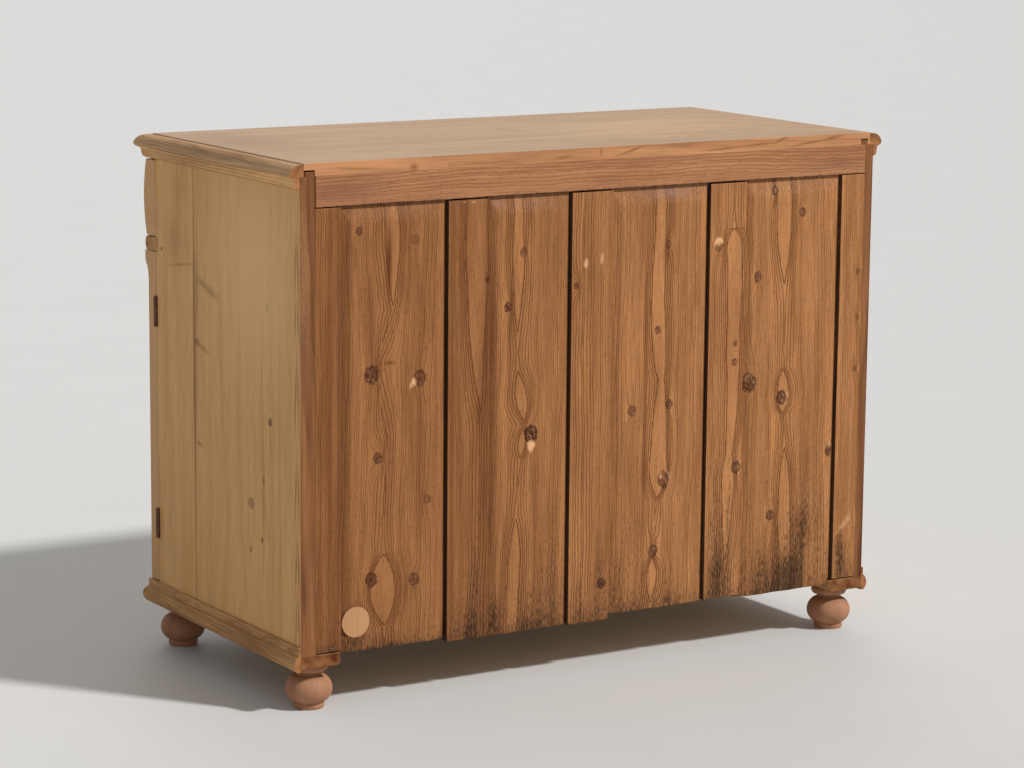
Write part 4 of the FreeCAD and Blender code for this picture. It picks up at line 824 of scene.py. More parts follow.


# The back's boards, in millimetres. Across is X and along is Z, or the other way on the rail.
# Heart: (along, across) of the middle of the tree. Figures: (tip, widest place, end, half width, rings
# past the tip, power) of the arches and lenses that the dark lines draw over it, round at a power of a
# half and pointed at one. Knots: (across, along, radius, darkness, torn wood round it). The other marks:
# (across, along, half width, half length, strength). Shade: a painted shade over the whole board, darkest
# on the right stile and least on the left, that stands in for the key light falling off across the back.
BACK_MARKS = {
    "back_panel_1": dict(
        shade=0.35,
        heart=[(80, 407), (250, 406), (430, 402), (520, 420), (560, 424), (642, 393), (820, 390)],
        figures=[(642, 760, 1100, 12, 0, 0.8), (248, 190, 128, 18, 0, 0.7)],
        knots=[(453, 769, 5, 0.7, 0.0), (350, 749, 7, 0.3, 0.0), (430, 539, 11, 0.9, 0.55),
               (342, 527, 10, 0.75, 0.4), (419, 404, 7, 0.8, 0.1), (328, 328, 6, 0.4, 0.0),
               (431, 207, 9, 0.9, 0.0), (352, 199, 8, 0.6, 0.0)],
        tones=[(399, 715, 5, 60, 0.7), (398, 556, 9, 3, 0.6), (478, 430, 7, 380, 0.25),
               (345, 600, 12, 200, 0.1)],
        stains=[(352, 190, 16, 18, 0.25), (410, 92, 90, 12, 0.45), (455, 110, 40, 10, 0.4),
                (458.5, 141, 20, 20, 1.6)],
        dust=[(390, 799, 95, 12, 0.35)],
        chips=[(353, 521, 6, 8, 0.8), (360, 512, 4, 9, 0.5)]),
    "muntin_1": dict(
        shade=0.48,
        heart=[(80, 234), (256, 232), (454, 229), (820, 240)],
        figures=[(454, 760, 1400, 17, 4, 0.8)],
        knots=[(217, 677, 4, 0.9, 0.0)],
        tones=[(283, 450, 4, 400, 0.3), (219, 450, 5, 400, 0.3), (226, 330, 5, 90, 0.3),
               (230, 460, 5, 30, 0.4)],
        stains=[(238, 175, 12, 80, 0.75), (246, 105, 30, 34, 0.7), (232, 290, 5, 60, 0.3)],
        dust=[(250, 804, 36, 5, 0.2)],
        chips=[(262, 804, 6, 3, 0.6), (245, 804, 7, 3, 0.6)]),
    "back_panel_2": dict(
        shade=0.22,
        heart=[(80, 165), (158, 164), (283, 158), (350, 158), (403, 151), (440, 148), (527, 158),
               (820, 158)],
        figures=[(577, 700, 1000, 9, 0, 0.9), (527, 470, 435, 9, 0, 0.9), (428, 402, 376, 7, 0, 0.8),
                 (283, 180, -100, 10, 0, 0.8)],
        knots=[(149, 717, 6, 0.6, 0.1), (178, 629, 6, 0.9, 0.0), (132, 416, 11, 1.0, 0.2)],
        tones=[(206, 440, 6, 380, 0.5), (174, 560, 3, 90, 0.35), (67, 450, 5, 380, 0.1),
               (122, 300, 3, 90, 0.2)],
        stains=[(198, 125, 9, 40, 0.8), (205, 110, 8, 30, 0.5), (105, 125, 50, 50, 0.5),
                (120, 92, 70, 22, 0.5),
                (85, 190, 18, 60, 0.35), (132, 340, 3, 50, 0.35)],
        dust=[(137, 798, 74, 14, 0.5), (200, 800, 12, 10, 0.6)],
        chips=[(131, 398, 9, 9, 0.95), (133, 388, 5, 10, 0.4)]),
    "muntin_2": dict(
        shade=0.2,
        heart=[(80, 30), (450, 34), (820, 30)],
        figures=[],
        knots=[(-9, 149, 7, 0.8, 0.0), (48, 655, 4, 0.8, 0.0)],
        tones=[(-17, 450, 5, 400, 0.2)],
        stains=[(-6, 160, 8, 50, 0.5), (20, 96, 40, 24, 0.45), (36, 140, 14, 50, 0.35)],
        dust=[(16, 804, 36, 5, 0.2)],
        chips=[(29, 690, 6, 13, 0.75), (-2, 697, 6, 14, 0.7), (10, 804, 14, 3, 0.45)]),
    "back_panel_3": dict(
        shade=0.06,
        heart=[(80, -112), (235, -112), (277, -117), (380, -124), (463, -125), (620, -118), (820, -117)],
        figures=[(463, 560, 1000, 11, 0, 0.6), (281, 340, 520, 14, 0, 0.7), (98, 150, 185, 9, 0, 1.0)],
        knots=[(-116, 569, 5, 0.7, 0.0), (-141, 441, 6, 0.8, 0.0), (-66, 436, 7, 0.6, 0.0),
               (-133, 313, 11, 0.7, 0.75), (-113, 192, 8, 0.7, 0.0), (-135, 712, 5, 0.6, 0.0)],
        tones=[(-92, 460, 4, 400, 0.6), (-40, 440, 8, 380, 0.2), (-132, 700, 5, 16, 0.5)],
        stains=[(-80, 100, 60, 30, 0.5), (-170, 100, 40, 26, 0.45), (-45, 150, 16, 50, 0.45),
                (-60, 220, 40, 60, 0.2)],
        dust=[(-118, 799, 96, 14, 0.55), (-150, 799, 40, 10, 0.7)],
        chips=[(-127, 318, 5, 6, 0.6)]),
    "muntin_3": dict(
        shade=0.0,
        heart=[(80, -262), (450, -270), (731, -270), (820, -268)],
        figures=[(731, 690, 250, 12, 0, 0.5), (372, 300, 150, 10, 0, 0.8)],
        knots=[(-274, 534, 4, 0.7, 0.0), (-273, 502, 5, 0.6, 0.0), (-282, 319, 9, 0.7, 0.8),
               (-237, 704, 8, 0.4, 1.0)],
        tones=[(-226, 500, 4, 300, 0.2)],
        stains=[(-242, 210, 16, 90, 0.7), (-250, 130, 24, 50, 0.9), (-268, 245, 7, 60, 0.8),
                (-236, 330, 10, 60, 0.3)],
        dust=[(-256, 804, 34, 5, 0.2)],
        chips=[(-237, 708, 6, 8, 0.7), (-278, 340, 4, 8, 0.4)]),
    "back_panel_4": dict(
        shade=0.0,
        heart=[(80, -392), (250, -390), (405, -377), (500, -374), (623, -379), (820, -372)],
        figures=[(623, 740, 1000, 13, 0, 0.9), (482, 440, 404, 11, 0, 0.7), (350, 250, -100, 11, 0, 0.9)],
        knots=[(-353, 790, 6, 0.8, 0.0), (-411, 750, 6, 0.7, 0.0), (-319, 644, 7, 0.7, 0.5),
               (-307, 463, 12, 0.8, 0.6), (-376, 432, 10, 0.85, 0.85), (-356, 227, 7, 0.7, 0.0),
               (-480, 329, 7, 0.85, 0.3)],
        tones=[(-303, 440, 5, 380, 0.2), (-404, 560, 14, 70, 0.2)],
        stains=[(-425, 200, 40, 44, 0.7), (-400, 132, 24, 30, 0.75), (-385, 96, 95, 34, 0.6),
                (-340, 140, 26, 40, 0.5),
                (-410, 150, 80, 70, 0.35), (-360, 290, 60, 60, 0.2), (-440, 270, 30, 70, 0.3)],
        dust=[(-390, 799, 96, 14, 0.5)],
        chips=[(-304, 474, 8, 6, 0.4), (-482, 340, 3, 10, 0.7), (-299, 150, 5, 40, 0.25)]),
    "back_stile_right": dict(
        shade=0.55,
        heart=[(80, 560), (820, 552)],
        figures=[],
        knots=[],
        tones=[(507, 450, 5, 420, 0.25), (489, 450, 4, 420, 0.25), (524, 300, 3, 200, 0.15)],
        stains=[(510, 100, 24, 8, 0.3)],
        dust=[],
        chips=[]),
    "back_stile_left": dict(
        shade=0.04,
        heart=[(80, -470), (450, -476), (820, -468)],
        figures=[],
        knots=[(-533, 640, 4, 0.5, 0.4), (-534, 560, 4, 0.4, 0.3), (-532, 470, 4, 0.5, 0.3)],
        tones=[(-535, 560, 5, 200, 0.15)],
        stains=[(-512, 140, 14, 30, 0.8), (-505, 165, 9, 20, 0.5), (-518, 110, 24, 24, 0.4)],
        dust=[],
        chips=[(-528, 206, 12, 10, 0.4), (-518, 196, 11, 10, 0.42), (-508, 186, 9, 9, 0.4),
               (-500, 178, 6, 8, 0.36)]),
    "back_top_rail": dict(
        shade=0.05,
        heart=[(-560, 836), (0, 848), (560, 842)],
        figures=[],
        knots=[],
        tones=[(834, 490, 22, 80, 0.6), (820, 300, 6, 200, 0.15), (830, -480, 16, 60, 0.2)],
        stains=[(809.5, 0, 1.8, 900, 2.2), (835, 532, 90, 1.8, 2.2)],
        dust=[(832, 470, 16, 70, 0.3), (824, -470, 10, 60, 0.3)],
        chips=[(812, 470, 2, 10, 0.5), (824, -210, 4, 14, 0.4), (813, 250, 2, 14, 0.5),
               (813, -60, 2, 12, 0.4)]),
}

# How the rings of a back board lie, in millimetres and years.
# Round a knot they bulge by so many years, over so many of its radii across and along the grain.
KNOT_BULGE = 2.8
KNOT_REACH = (1.7, 4.2)
# Figures fade out over this length, and the heart bends the rings as far as this.
FIGURE_FADE = 26.0
HEART_REACH = 24.0
HEART_WIDE = 0.4
HEART_BLUNT = 1.5
# Past a figure's tip a year takes this long, and between figures the heart lies half a year down.
TIP_PACE = 60.0
BETWEEN = 0.5
# Away from the figures the years crowd and part, by these shares over these lengths.
CROWD, CROWD_LONG, CROWD_TURN = 0.25, 6.0, 6.0
RIPPLE, RIPPLE_LONG = 0.14, 2.3
# A knot's bulge grows over the first years out from the heart. Inside the heart, years below zero pass
# slowly and stop at the last.
BULGE_YEARS = 1.5
HEART_SLOW, HEART_LAST = 0.25, -0.9


def blots(across, along, marks):
    """The sum of soft spots, each a bell across and along the grain."""
    total = np.zeros(len(across))
    for a, l, wide, long, strength in marks:
        total += strength * np.exp(-((across - a) / wide) ** 2 - ((along - l) / long) ** 2)
    return total


def figure_swell(along, figures, spacing):
    """How far the arches and lenses of the grain push the rings aside, in mm."""
    swell = np.full(len(along), -BETWEEN * spacing)
    for tip, widest, end, half, more, power in figures:
        rise = np.clip((along - tip) / (widest - tip), 0.0, 1.0)
        fall = np.clip((along - end) / (widest - end), 0.0, 1.0)
        inside = half * np.sin(np.minimum(rise, fall) * math.pi / 2) ** power
        before = np.maximum((tip - along) * np.sign(widest - tip), 0.0)
        after = np.maximum((along - end) * np.sign(end - widest), 0.0)
        tail = np.minimum(before, max(BETWEEN, more) * TIP_PACE) + np.minimum(after, BETWEEN * TIP_PACE)
        swell = np.maximum(swell, inside - tail * spacing / TIP_PACE)
    return swell


def ring_field(across, along, marks, luck):
    """Years of growth at places on a back board, in mm: whole numbers lie on the dark lines."""
    spacing = sizes().ring / MM
    stops = np.array(marks["heart"], float)
    slope, middle = np.polyfit(stops[:, 0], stops[:, 1], 1)
    aside = across - (slope * along + middle)
    for height, long, wide, phase in luck:
        aside = aside + height * np.sin(2 * math.pi * (along / long + across / wide + phase))
    bend = np.interp(along, stops[:, 0], stops[:, 1]) - (slope * along + middle)
    aside = aside - bend * np.exp(-(aside / HEART_REACH) ** 2)
    away = np.hypot(aside, HEART_BLUNT)
    away = away - HEART_WIDE * HEART_REACH * (1 - np.exp(-away / HEART_REACH))
    swell = figure_swell(along, marks["figures"], spacing)
    near = np.exp(-np.maximum(away - np.abs(swell), 0.0) / FIGURE_FADE)
    years = (away - swell * near) / spacing
    crowd = CROWD * np.sin(away / CROWD_LONG + CROWD_TURN * luck[0][3])
    years = years + (crowd + RIPPLE * np.sin(away / RIPPLE_LONG)) * (1 - near)
    wide, long = KNOT_REACH
    rounds = [(a, l, wide * radius, long * radius, KNOT_BULGE) for a, l, radius, *_ in marks["knots"]]
    years = years + blots(across, along, rounds) * np.clip(years / BULGE_YEARS, 0.0, 1.0)
    return np.where(years < 0.0, np.maximum(HEART_SLOW * years, HEART_LAST), years)


# Waves in the grain of a back board, in millimetres: height, length along and length across.
WAVES = ((2.2, 620.0, 500.0), (1.0, 240.0, 190.0), (0.45, 105.0, 70.0), (0.25, 41.0, 27.0))
WAVE_SEED = 100
# Between the runs of grain of two boards, in millimetres.
BOARD_APART = 2000.0
# The step, in millimetres, over which the spacing of the rings is measured.
PROBE = 0.4
SLOWEST = 0.01
# Past so many of its radii a knot is out of sight. Knots are taller than wide, and wood tears round them.
KNOT_FAR = 5.0
KNOT_SQUASH = 0.85
TEAR, TEAR_AT, TEAR_WIDE = 0.7, 1.1, 0.4
TEAR_EVEN, TEAR_LOPSIDED = 0.6, 0.4
# How strongly the dust and the painted sheen cover their places.
DUST_AND_SHEEN_COVER = 0.6
# Dirt and a painted shade darken the wood so deep under a board's face, and marks end at its tongue, in
# millimetres.
DEEP, DEEP_SHADE_AND_DIRT = 8.0, 0.5
TONGUE = 12.0
# Damp from the floor: strength and reach up the board in millimetres.
FRINGES = ((0.3, 16.0), (0.25, 80.0))
# Dirt and a painted shade darken the wall beside an open joint, on the last of the board's edge in
# millimetres.
SLOT_SHADE_AND_DIRT = 3.0
SLOT_LIP = 0.5


def write_knots(mesh, across, along, marks):
    """Writes the way to each point's nearest knot and the knot's darkness, and gives the torn wood."""
    count = len(across)
    reach, dark, torn = np.full(count, KNOT_FAR), np.zeros(count), np.zeros(count)
    way = np.tile((0.0, 0.0, KNOT_FAR), (count, 1))
    for a, l, radius, shade, pale in marks["knots"]:
        aside, up = (across - a) / radius, KNOT_SQUASH * (along - l) / radius
        far = np.hypot(aside, up)
        own = far < reach
        reach, dark = np.where(own, far, reach), np.where(own, shade, dark)
        way[own] = np.stack([aside, up, np.zeros(count)], 1)[own]
        lopsided = TEAR_EVEN + TEAR_LOPSIDED * np.sin(np.arctan2(up, aside) + l)
        torn += TEAR * pale * np.exp(-((far - TEAR_AT) / TEAR_WIDE) ** 2) * lopsided
    write_field(mesh, "knot_at", way)
    write_field(mesh, "knot_dark", dark)
    return torn


def write_marks(mesh, marks, places, level, seed, upright, slot):
    """Writes the grain, knots and marks of one back board; places are (across, along, out) in mm."""
    across, along, out = places.T
    chance = np.random.default_rng(WAVE_SEED + seed)
    luck = [(height, long * chance.uniform(0.8, 1.2), wide, chance.uniform()) for height, long, wide in WAVES]
    write_field(mesh, "grain", np.stack([across, level - out, along + BOARD_APART * seed], 1) * MM)
    years = ring_field(across, along, marks, luck)
    step = (ring_field(across + PROBE, along, marks, luck) - years,
            ring_field(across, along + PROBE, marks, luck) - years)
    write_field(mesh, "ring", years)
    write_field(mesh, "pace", np.maximum(np.hypot(*step) / PROBE, SLOWEST))
    torn = write_knots(mesh, across, along, marks)
    outside = level - out < TONGUE
    # A board's shade is a painted shade for the key light falling off across the back; its tones are marks in
    # the wood.
    write_field(mesh, "tone", marks["shade"] + blots(across, along, marks["tones"]))
    write_field(mesh, "dust", DUST_AND_SHEEN_COVER * blots(across, along, marks["dust"]) * outside)
    write_field(mesh, "chip", (blots(across, along, marks["chips"]) + torn) * outside)
    # The stain field adds to the listed stains a painted shade deep under the face, the damp from the floor,
    # and a painted shade on the wall by an open joint.
    damp_and_shade = blots(across, along, marks["stains"]) + DEEP_SHADE_AND_DIRT * (level - out > DEEP)
    if upright:
        for strength, reach in FRINGES:
            damp_and_shade += strength * np.exp(-((along - along.min()) / reach) ** 2)
    if slot:
        damp_and_shade += SLOT_SHADE_AND_DIRT * (across > across.max() - SLOT_LIP)
    write_field(mesh, "stain", damp_and_shade * outside)


# Rays start this far behind the cupboard, and stay this far inside a board's edges.
FAR = 1.0
INSET = 0.01 * MM
# Lines close to a board's edges, in shares of its arris.
ARRIS_STEPS = (0.15, 0.5, 1.0)
SHOULDER_LONG = 30 * MM
LEDGE_LONG = 20 * MM
# Waves of a sawn end: length in metres and share of the whole.
SAW_WAVES = ((0.03, 0.5), (0.008, 0.3), (0.0025, 0.2))
SAW_SPAN = 0.7
BOARD_SMOOTH = math.radians(40)


def grid_lines(low, high, step, features, arris):
    """Places of the grid's lines: even steps, a pair at each shoulder, and some close to the edges."""
    lines = list(np.linspace(low + INSET, high - INSET, max(2, round((high - low) / step) + 1)))
    for value in features:
        if low + INSET < value < high - INSET:
            lines += [value - 2 * INSET, value + 2 * INSET]
    for part in ARRIS_STEPS:
        lines += [low + part * arris, high - part * arris]
    return np.unique(np.round(np.clip(lines, low + INSET, high - INSET), 7))


def uneven(values, seed, reach):
    """A smooth run of chance numbers between nothing and a reach, for sawn ends."""
    luck = np.random.default_rng(seed)
    total = np.zeros(len(values))
    for width, weight in SAW_WAVES:
        stops = np.arange(-SAW_SPAN, SAW_SPAN, width)
        total += weight * np.interp(values, stops, luck.uniform(0.0, 1.0, len(stops)))
    return reach * total


def sharp_lines(points, faces):
    """Places across and along a board where its face steps."""
    pairs = {tuple(sorted(pair)) for face in faces for pair in zip(face, face[1:] + face[:1])}
    shoulders, ledges = set(), set()
    for a, b in pairs:
        step = np.abs(points[a] - points[b])
        if step[2] > SHOULDER_LONG and step[0] < INSET:
            shoulders.add(round(float(points[a][0]), 6))
        if step[0] > LEDGE_LONG and step[2] < INSET:
            ledges.add(round(float(points[a][2]), 6))
    return shoulders, ledges


def face_depths(points, faces, xs, zs):
    """The face that shows, read by rays: its Y at each place of a grid, or not a number past its ends."""
    ray = BVHTree.FromPolygons([Vector(point) for point in points], faces)
    depths = np.full((len(xs), len(zs)), np.nan)
    for i, x in enumerate(xs):
        for j, z in enumerate(zs):
            hit = ray.ray_cast(Vector((x, FAR, z)), Vector((0.0, -1.0, 0.0)))[0]
            if hit is not None:
                depths[i, j] = hit.y
    return depths


def slab(name, xs, face, up, inner):
    """A closed mesh from the grid on a board's face and a flat inner side."""
    wide, tall = face.shape
    front = np.stack([np.tile(xs[:, None], (1, tall)), face, up], 2).reshape(-1, 3)
    foot = np.stack([xs, np.full(wide, inner), up[:, 0]], 1)
    head = np.stack([xs, np.full(wide, inner), up[:, -1]], 1)
    first, last = wide * tall, wide * tall + wide
    polygons = [(i * tall + j, i * tall + j + 1, (i + 1) * tall + j + 1, (i + 1) * tall + j)
                for i in range(wide - 1) for j in range(tall - 1)]
    for i in range(wide - 1):
        polygons.append((first + i, first + i + 1, last + i + 1, last + i))
        polygons.append((i * tall, (i + 1) * tall, first + i + 1, first + i))
        polygons.append((i * tall + tall - 1, last + i, last + i + 1, (i + 1) * tall + tall - 1))
    polygons.append((first, last) + tuple(tall - 1 - j for j in range(tall)))
    polygons.append((last + wide - 1, first + wide - 1) + tuple((wide - 1) * tall + j for j in range(tall)))
    bm = bmesh.new()
    made = [bm.verts.new(place) for place in np.concatenate([front, foot, head])]
    for polygon in polygons:
        bm.faces.new([made[i] for i in polygon])
    bmesh.ops.remove_doubles(bm, verts=bm.verts[:], dist=MERGE)
    bmesh.ops.recalc_face_normals(bm, faces=bm.faces[:])
    mesh = bpy.data.meshes.new(name)
    bm.to_mesh(mesh)
    bm.free()
    return mesh


def back_board(name, points, faces, seed, saw=True):
    """A closed slab with a dense grid on the face that shows, its edges worn and its foot sawn ragged."""
    low, high = points.min(0), points.max(0)
    shoulders, ledges = sharp_lines(points, faces)
    arris, step = sizes().arris, sizes().grid
    xs = grid_lines(low[0], high[0], step, shoulders, arris)
    zs = grid_lines(low[2], high[2], step, ledges, arris)
    face = face_depths(points, faces, xs, zs)
    whole = ~np.isnan(face).any(0)
    last = len(whole) - int(np.argmax(whole[::-1]))
    zs, face = zs[:last], face[:, :last]
    up = np.tile(zs, (len(xs), 1))
    for i in range(len(xs)):
        real = ~np.isnan(face[i])
        face[i] = np.interp(zs, zs[real], face[i, real])
        up[i] = np.maximum(zs, zs[real][0])
    if saw:
        up = np.maximum(up, up[:, :1] + uneven(xs, seed, sizes().ragged)[:, None])
    side = np.minimum(xs - low[0], high[0] - xs)[:, None]
    end = np.minimum(up - up[:, :1], up[:, -1:] - up)
    near = np.clip(np.minimum(side, end) / arris, 0.0, 1.0)
    face = face - arris * (1.0 - np.sqrt(1.0 - (1.0 - near) ** 2))
    return slab(name, xs, face, up, low[1])


DRILL_SIDES = 64
DRILL_LONG = 0.2


def drill(mesh, centre, radius):
    """Cuts a round hole through a board along Y."""
    bm = bmesh.new()
    place = Matrix.Translation(centre) @ Matrix.Rotation(math.pi / 2, 4, "X")
    bmesh.ops.create_cone(bm, cap_ends=True, segments=DRILL_SIDES, radius1=radius, radius2=radius,
                          depth=DRILL_LONG, matrix=place)
    tool_mesh = bpy.data.meshes.new("drill")
    bm.to_mesh(tool_mesh)
    bm.free()
    tool = bpy.data.objects.new("drill", tool_mesh)
    work = bpy.data.objects.new("drilled", mesh)
    for item in (tool, work):
        bpy.context.scene.collection.objects.link(item)
    cut = work.modifiers.new("hole", "BOOLEAN")
    cut.operation, cut.object, cut.solver = "DIFFERENCE", tool, "EXACT"
    done = bpy.data.meshes.new_from_object(work.evaluated_get(bpy.context.evaluated_depsgraph_get()))
    bpy.data.objects.remove(work)
    bpy.data.objects.remove(tool)
    return done


def mark_board(mesh, marks, seed, flat=False, slot=False):
    """Writes a back board's marks from its points."""
    co = np.empty(len(mesh.vertices) * 3)
    mesh.vertices.foreach_get("co", co)
    x, y, z = co.reshape(-1, 3).T / MM
    places = np.stack([z, x, y] if flat else [x, z, y], 1)
    write_marks(mesh, marks, places, y.max(), seed, not flat, slot)
    mesh.shade_smooth()
    mesh.set_sharp_from_angle(angle=BOARD_SMOOTH)


def joined(name, meshes):
    """One mesh from several, with their fields."""
    parts = []
    for mesh in meshes:
        part = bpy.data.objects.new(name, mesh)
        bpy.context.scene.collection.objects.link(part)
        parts.append(part)
    with bpy.context.temp_override(active_object=parts[0], object=parts[0], selected_objects=parts,
                                   selected_editable_objects=parts):
        bpy.ops.object.join()
    mesh = parts[0].data
    bpy.data.objects.remove(parts[0])
    return mesh


# Rounding of edges that wear has touched less.
TOP_ARRIS = 0.4 * MM
MOULDING_ARRIS = 0.5 * MM
PLUG_ARRIS = 0.8 * MM
PLUG_PLAY = 0.4 * MM
# Seeds of the back's boards; the stiles have the first two.
RAIL_SEED = 2
MUNTIN_SEED = 3
PANEL_SEED = 10


class CUPBOARD_OT_back_frame(bpy.types.Operator):
    """Makes the rail, the stiles and the muntins of the back"""

    bl_idname = "cupboard.back_frame"
    bl_label = "Back frame"

    def execute(self, context):
        for seed, node in enumerate(("back_stile_right", "back_stile_left")):
            (points, faces), = shells(node)
            mesh = back_board(node, points, faces, seed)
            mark_board(mesh, BACK_MARKS[node], seed, slot=node == "back_stile_left")
            show(node + "_board", mesh, back_pine(), "back_pine", node)
        (points, faces), = shells("back_top_rail")
        mesh = back_board("back_top_rail", points, faces, RAIL_SEED, saw=False)
        mark_board(mesh, BACK_MARKS["back_top_rail"], RAIL_SEED, flat=True)
        show("back_top_rail_board", mesh, rail_pine(), "back_pine", "back_top_rail")
        muntins = sorted(shells("back_muntins"), key=lambda shell: -shell[0][:, 0].max())
        made = []
        for index, (points, faces) in enumerate(muntins):
            mesh = back_board("muntin", points, faces, MUNTIN_SEED + index)
            mark_board(mesh, BACK_MARKS[f"muntin_{index + 1}"], MUNTIN_SEED + index, slot=True)
            made.append(mesh)
        name = "back_muntin_boards"
        show(name, joined(name, made), back_pine(), "back_pine", "back_muntins")
        return {"FINISHED"}


class CUPBOARD_OT_back_panels(bpy.types.Operator):
    """Makes the four fielded panels of the back and the plug in one of them"""

    bl_idname = "cupboard.back_panels"
    bl_label = "Back panels and plug"

    def execute(self, context):
        low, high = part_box("hole_plug")
        for index in range(4):
            node = f"back_panel_{index + 1}"
            (points, faces), = shells(node)
            mesh = back_board(node, points, faces, PANEL_SEED + index)
            if index == 0:
                mesh = drill(mesh, (low + high) / 2, (high.x - low.x) / 2 + PLUG_PLAY)
            mark_board(mesh, BACK_MARKS[node], PANEL_SEED + index)
            show(node + "_board", mesh, back_pine(), "back_pine", node)
        timber("hole_plug", plug_pine(), "plug_wood", arris=PLUG_ARRIS, along=Z, old=0.0)
        return {"FINISHED"}


class CUPBOARD_OT_sides(bpy.types.Operator):
    """Makes the two sides, each of two boards"""

    bl_idname = "cupboard.sides"
    bl_label = "Sides"

    def execute(self, context):
        for node in ("left_side_boards", "right_side_boards"):
            timber(node, side_pine(), "side_pine")
        return {"FINISHED"}


class CUPBOARD_OT_top(bpy.types.Operator):
    """Makes the two boards of the top"""

    bl_idname = "cupboard.top"
    bl_label = "Top"

    def execute(self, context):
        for node in ("top_board_back", "top_board_front"):
            timber(node, top_pine(), "top_pine", arris=TOP_ARRIS)
        return {"FINISHED"}


class CUPBOARD_OT_mouldings(bpy.types.Operator):
    """Makes the nosing, the mouldings and the rails that show on the front"""

    bl_idname = "cupboard.mouldings"
    bl_label = "Mouldings"

    def execute(self, context):
        for node in ("base_moulding", "drawer_rail", "top_front_rail", "base_front_rail"):
            timber(node, moulding_pine(), "moulding_pine", arris=MOULDING_ARRIS)
        timber("top_nosing", nosing_pine(), "moulding_pine", arris=MOULDING_ARRIS)
        timber("bed_moulding", bed_pine(), "moulding_pine", arris=MOULDING_ARRIS)
        return {"FINISHED"}


class CUPBOARD_OT_feet(bpy.types.Operator):
    """Makes the four turned feet"""

    bl_idname = "cupboard.feet"
    bl_label = "Feet"

    def execute(self, context):
        for end in ("back", "front"):
            for side in ("left", "right"):
                timber(f"foot_{end}_{side}", turned_pine(), "turned_pine", arris=0.0, along=Z)
        return {"FINISHED"}


class CUPBOARD_OT_inside(bpy.types.Operator):
    """Makes the boards inside: bottom, shelf, battens, runners, divider and post"""

    bl_idname = "cupboard.inside"
    bl_label = "Inside boards"

    def execute(self, context):
        for node in ("bottom_board", "shelf", "shelf_battens", "drawer_divider", "drawer_runners",
                     "centre_post"):
            timber(node, inner_pine(), "inner_pine")
        timber("base_runners", runner_pine(), "inner_pine")
        return {"FINISHED"}


class CUPBOARD_OT_doors(bpy.types.Operator):
    """Makes the wood of the two doors"""

    bl_idname = "cupboard.doors"
    bl_label = "Doors"

    def execute(self, context):
        for side in ("left", "right"):
            timber(f"{side}_door_frame", front_pine(), "front_pine")
            timber(f"{side}_door_panel", front_pine(), "front_pine", along=Z)
            timber(f"{side}_door_cap", front_pine(), "front_pine")
        return {"FINISHED"}


class CUPBOARD_OT_drawers(bpy.types.Operator):
    """Makes the fronts, boxes and knobs of the two drawers"""

    bl_idname = "cupboard.drawers"
    bl_label = "Drawers"

    def execute(self, context):
        for side in ("left", "right"):
            timber(f"{side}_drawer_front", front_pine(), "front_pine", along=X)
            timber(f"{side}_drawer_box", inner_pine(), "inner_pine")
            timber(f"{side}_drawer_bottom", inner_pine(), "inner_pine")
            timber(f"{side}_drawer_knobs", turned_pine(), "turned_pine", arris=0.0, along=Y)
        return {"FINISHED"}


# A nail or screw is a round bar of so many sides and rings. Its neck and tip are shares of its own sizes.
SIDES_ROUND = 12
RINGS = 4
NECK = 1.3
TIP = 0.6
SLOT_LONG = 2.4
NAIL_HEAD_DEPTH = 0.8 * MM
NAIL_UNDER = 0.9
SCREW_HEAD_DEPTH = 1.6 * MM
TURN_IN = {"front": (-math.pi / 2, 0.0, 0.0), "back": (math.pi / 2, 0.0, 0.0)}


